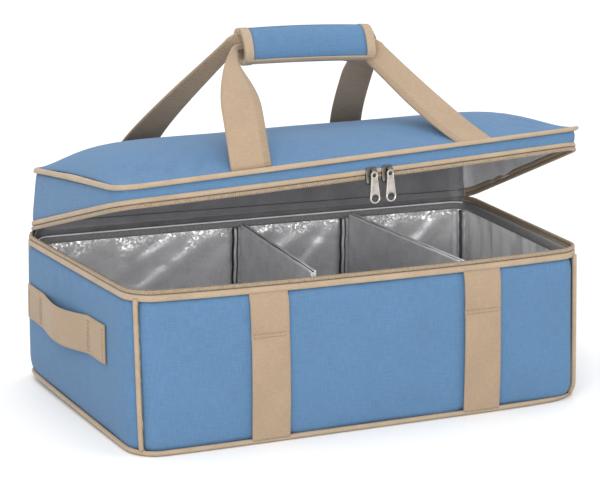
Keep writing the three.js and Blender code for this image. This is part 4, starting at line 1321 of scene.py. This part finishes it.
def handle_leg(foot_q, side_q, hand, leg):
    """Rings of one leg, which turns from lying on the lid to standing upright, folded, in the grip."""
    path, t, up = leg_path(foot_q, GRIP_Q + side_q, hand, leg)
    way = math.copysign(1.0, up[1])
    leg_face = np.array([0.0, -up[2], up[1]]) * way
    leg_face = leg_face if leg_face[2] > 0 else -leg_face
    grip_face = np.array([0.0, -way, 0.0])
    fold = smooth(t, leg.fold_start, leg.fold_end)
    tangent = np.gradient(path, axis=0) * -hand
    tangent /= np.linalg.norm(tangent, axis=1)[:, None]
    rings = []
    for k in range(len(path)):
        face = leg_face * (1 - fold[k]) + grip_face * fold[k]
        face = face - tangent[k] * face.dot(tangent[k])
        face /= np.linalg.norm(face)
        across = np.array([-hand * way, 0, 0]) * (1 - fold[k]) + np.cross(tangent[k], face) * fold[k]
        across /= np.linalg.norm(across)
        width = leg.wide * (1 - fold[k]) + leg.narrow * fold[k]
        section = flat_section(width, STRAP_THICK * (1 + fold[k]), 11)
        curl = 1.2 * (2 * section[:, 0] / width) ** 2 * math.sin(t[k] * math.pi)
        rings.append(path[k] + section[:, :1] * across + (section[:, 1] - curl)[:, None] * face)
    return np.array(rings)


def add_handles():
    feet = {"front": (STRAP_FOOT_IN, -2.0), "rear": (TOP_LENGTH - STRAP_FOOT_IN, 2.0)}
    for name, (foot, side_q) in feet.items():
        left, right = HANDLE_LEGS[name]
        rings = [handle_leg(foot, side_q, -1, left), handle_leg(foot, side_q, 1, right)[::-1]]
        strap = centre_across(loft(handle_at(np.concatenate(rings))), STRAP_WIDTH / 2)
        nodes = [f"{name}_handle_strap"]
        obj = piece(f"{name}_handle_webbing", [strap], webbing_beige, "lid", nodes)
        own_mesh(obj)


GRIP_TOP, GRIP_LEAN = GRIP_HEIGHT / 2 - 1.0, 2.5
BIND = 8.0

# Where the wrap and its flap start and end round the grip, in turns from the back over the top
WRAP_START, WRAP_END = 0.30, -0.295
FLAP_START, FLAP_END, FLAP_EDGE_END = 0.31, 0.63, 0.69


def grip_rings(profile, x0, x1, count, swell):
    """Rings of a (q, n) profile along x in the grip's own place, swelling by swell(x)."""
    rings = []
    for x in np.linspace(x0, x1, count):
        grow = swell(x)
        q, n = profile[:, 0] * grow, profile[:, 1] * grow
        rings.append(np.stack([0 * q + x + GRIP_X, q + GRIP_Q, n + GRIP_N + grip_rise(x)], 1))
    return handle_at(np.array(rings))


def grip_outline(grow, start, end, count):
    """Points of the grip's outline between two turns, from the back through the top to the front."""
    turn = np.linspace(start, end, count) * TURN
    sin, cos = np.sin(turn), np.cos(turn)
    q = (GRIP_DEPTH / 2 + grow) * np.sign(cos) * np.abs(cos) ** 0.8
    n = (GRIP_TOP + grow) * np.sign(sin) * np.abs(sin) ** 0.8
    return np.stack([q + GRIP_LEAN * (n / GRIP_TOP), n], 1)


def shell_profile(outer, thick):
    """A closed profile from an outline and the same outline drawn in towards the grip's middle."""
    size = np.linalg.norm(outer, axis=1)[:, None]
    return np.concatenate([outer, (outer * (size - thick) / size)[::-1]])


def wrap_profile(grow):
    """Profile of the padded wrap over the grip's top, down its back and under it, thickened by grow."""
    return shell_profile(grip_outline(grow, WRAP_START, WRAP_END, 26), 4.8 + grow)


def flap_profile(grow, end):
    """Profile of the wrap's front flap, from the grip's top to the given turn."""
    return shell_profile(grip_outline(grow, FLAP_START, end, 18), 4.4 + grow)


def add_grip():
    half = GRIP_LENGTH / 2
    body = half - BIND - 0.2
    puff = lambda x: 1 + 0.025 * math.cos(x / half * 1.4)
    flat = lambda x: 1.0
    pad = loft(grip_rings(wrap_profile(0.0), -body, body, 30, puff))
    obj = piece("grip_wrap", [pad], cloth_blue, "grip", ["grip_pad"])
    for hand, way in (("left", -1), ("right", 1)):
        xs = sorted((way * (half - BIND), way * half))
        edge = loft(grip_rings(wrap_profile(0.7), *xs, 5, flat))
        obj = piece(f"grip_end_{hand}", [edge], trim_sand, "grip", [f"grip_binding_{hand}"])
        soften(obj, 0.7)

    flap = loft(grip_rings(flap_profile(0.0, FLAP_END), -body, body, 30, puff))
    obj = piece("grip_front", [flap], cloth_blue, "grip_flap", ["grip_flap"])
    lower = shell_profile(grip_outline(0.9, 0.625, 0.695, 8), 5.0)
    parts = [loft(grip_rings(lower, -half + 2, half - 2, 40, flat))]
    for way in (-1, 1):
        xs = sorted((way * (half - BIND), way * half))
        parts.append(loft(grip_rings(flap_profile(0.7, FLAP_EDGE_END), *xs, 6, flat)))
    obj = piece("grip_front_edge", parts, trim_sand, "grip_flap", ["grip_flap_binding"])
    soften(obj, 0.6)

    for rides, name, start, end, node in (
        ("grip", "hook", -0.30, -0.335, "grip_hook_strip"),
        ("grip_flap", "loop", 0.655, 0.69, "grip_loop_strip"),
    ):
        strip = shell_profile(0.6 * grip_outline(0.0, start, end, 5), 0.8)
        part = loft(grip_rings(strip, -half + 12, half - 12, 20, flat))
        piece(f"grip_{name}", [part], hook_black, rides, [node])


# Zip sliders and pulls

PULL_EYE, PULL_EYE_HOLE, PULL_TIP, PULL_TIP_HOLE, PULL_THICK = 3.2, 1.7, 4.7, 3.1, 1.6


def pull_outline(inset):
    """A pull's outline from its eye to its round tip, drawn in by inset."""
    eye, tip = PULL_EYE - inset, PULL_TIP - inset
    low = PULL_TIP - PULL_LENGTH
    top = arc(0.0, -0.9, eye, -0.06, 0.56, 17)
    return top + [(-eye + 0.1, -4.6)] + arc(0.0, low, tip, 0.5, 1.0, 17) + [(eye - 0.1, -4.6)]


def closed_rod(loop, y, radius):
    """A rod round a closed outline in the plane of x and z."""
    path = [(x, y, z) for x, z in loop]
    return tube(path + path[:2], radius, (0, 1, 0), 8)


def pull_parts():
    """A pull with its eye at the origin: a plate with raised edges, hanging along -z."""
    low = PULL_TIP - PULL_LENGTH
    holes = [arc(0.0, -0.9, PULL_EYE_HOLE, 0.0, 0.96, 20), arc(0.0, low, PULL_TIP_HOLE, 0.0, 0.97, 28)]
    plate = cut_plate(pull_outline(0.0), holes, PULL_THICK, 0.35)
    front = -PULL_THICK / 2
    rims = [closed_rod(pull_outline(0.55), front, 0.42)]
    rims.append(closed_rod(arc(0.0, low, PULL_TIP_HOLE + 0.5, 0.0, 0.97, 28), front, 0.42))
    return [plate] + rims


def slider_parts():
    """A slider at the coils' parting line: a rounded plate and the staple that holds the pull's eye."""
    rings = []
    for y, inset in ((-0.5, 0.5), (-0.9, 0.1), (-2.2, 0.0), (-2.9, 0.35), (-3.2, 1.0)):
        x, z = soft_box(-5.6 + inset, 5.6 - inset, -3.0 + inset, 11.5 - inset, 2.8 - inset).T
        rings.append(np.stack([x * (1 - 0.012 * (z - 4)), 0 * x + y, z], 1))
    plate = loft(rings)
    staple = [(-1.4, 4.2), (-3.4, 4.3), (-5.4, 3.9), (-6.7, 2.6), (-7.1, 0.8), (-6.8, -0.6), (-5.4, -1.4),
              (-3.4, -1.7), (-1.4, -1.8)]
    bar = ribbon([(0.0, y, BAR_UP + z) for y, z in staple], 2.8, 1.1, (1, 0, 0))
    wing = [(-1.2, -2.6), (-2.2, 0.0), (-2.5, 4.0), (-2.2, 8.0), (-1.2, 10.0)]
    wings = [ribbon([(x, y, z) for y, z in wing], 1.2, 1.2, (1, 0, 0)) for x in (-4.3, 4.3)]
    return [plate, bar] + wings


def hang(points):
    """Turns a pull about its eye and hangs it on its slider's staple."""
    sin, cos = math.sin(PULL_HANG), math.cos(PULL_HANG)
    y, z = points[:, 1], points[:, 2]
    return np.stack([points[:, 0], y * cos - z * sin - BAR_OUT, y * sin + z * cos + BAR_UP], 1)


def add_zip_metal():
    for hand, x in zip(("left", "right"), SLIDER_X):
        seat = lambda points: open_lid(points + np.array([x, -DEPTH / 2, 0.0]), CAD_RIM)
        slider = [moved(part, seat) for part in slider_parts()]
        pull = [moved(moved(part, hang), seat) for part in pull_parts()]
        for body, parts, material in (
            (f"zip_slider_{hand}", slider, metal_dark),
            (f"zip_pull_{hand}", pull, metal_pewter),
        ):
            piece(f"{body}_metal", parts, material, body, [body], sharp=40)


add_case_cloth()
add_lining_seams()
add_base()
add_corner_welts()
add_zip("case", case_at, HEIGHT, -1)
add_rim_tape()
add_wall_straps()
add_side_handles()
for divider in zip(("left", "right"), DIVIDER_X, DIVIDER_TURN, DIVIDER_LENGTH):
    add_divider(*divider)
add_lid_top()
add_zip("lid", lid_at, 0.0, 1)
add_lid_walls()
add_hinge()
add_handles()
add_grip()
add_zip_metal()


# Camera, floor and light

AIM = Vector((0.0, 0.0, 0.110))
AZIMUTH, ELEVATION, DISTANCE = math.radians(-22.03), math.radians(15.22), 2.6
LENS = 179.0
AIM_RIGHT, AIM_UP = -0.0067, 0.0219


def add_camera():
    level = math.cos(ELEVATION)
    back = Vector((math.sin(AZIMUTH) * level, -math.cos(AZIMUTH) * level, math.sin(ELEVATION)))
    right = Vector((math.cos(AZIMUTH), math.sin(AZIMUTH), 0.0))
    up = back.cross(right)
    eye = AIM + back * DISTANCE
    target = AIM + right * AIM_RIGHT + up * AIM_UP
    data = bpy.data.cameras.new("Camera")
    data.lens = LENS
    data.sensor_width = 36.0
    data.clip_end = 50.0
    camera = bpy.data.objects.new("Camera", data)
    camera.location = eye
    camera.rotation_euler = (target - eye).to_track_quat("-Z", "Y").to_euler()
    bpy.context.collection.objects.link(camera)
    bpy.context.scene.camera = camera


def add_light(name, place, target, size, power):
    data = bpy.data.lights.new(name, "AREA")
    data.shape = "RECTANGLE"
    data.size, data.size_y = size
    data.energy = power
    light = bpy.data.objects.new(name, data)
    light.location = place
    light.rotation_euler = (Vector(target) - Vector(place)).to_track_quat("-Z", "Y").to_euler()
    bpy.context.collection.objects.link(light)


def add_studio():
    mesh = bpy.data.meshes.new("Floor")
    mesh.from_pydata([(-6, -6, 0), (6, -6, 0), (6, 6, 0), (-6, 6, 0)], [], [(0, 1, 2, 3)])
    floor = bpy.data.objects.new("Floor", mesh)
    bpy.context.collection.objects.link(floor)
    paper = Nodes("paper", (0.8, 0.8, 0.8), 0.9)
    mesh.materials.append(paper.material)
    world = bpy.data.worlds.new("Studio")
    world.use_nodes = True
    world.node_tree.nodes["Background"].inputs[0].default_value = (1.0, 1.0, 1.0, 1.0)
    world.node_tree.nodes["Background"].inputs[1].default_value = 1.1
    bpy.context.scene.world = world
    add_light("Key", (-1.3, -1.9, 2.2), (0, 0, 0.1), (1.8, 1.8), 24.0)
    add_light("Low front", (-0.9, -2.4, 0.62), (0, 0.1, 0.13), (1.8, 0.8), 24.0)
    add_light("Fill", (2.2, -1.2, 1.2), (0, 0, 0.12), (1.6, 1.6), 8.0)
    add_light("Top", (0.1, 0.5, 2.4), (0, 0, 0.1), (2.0, 1.4), 18.0)
    bpy.context.scene.view_settings.view_transform = "Standard"


add_camera()
add_studio()
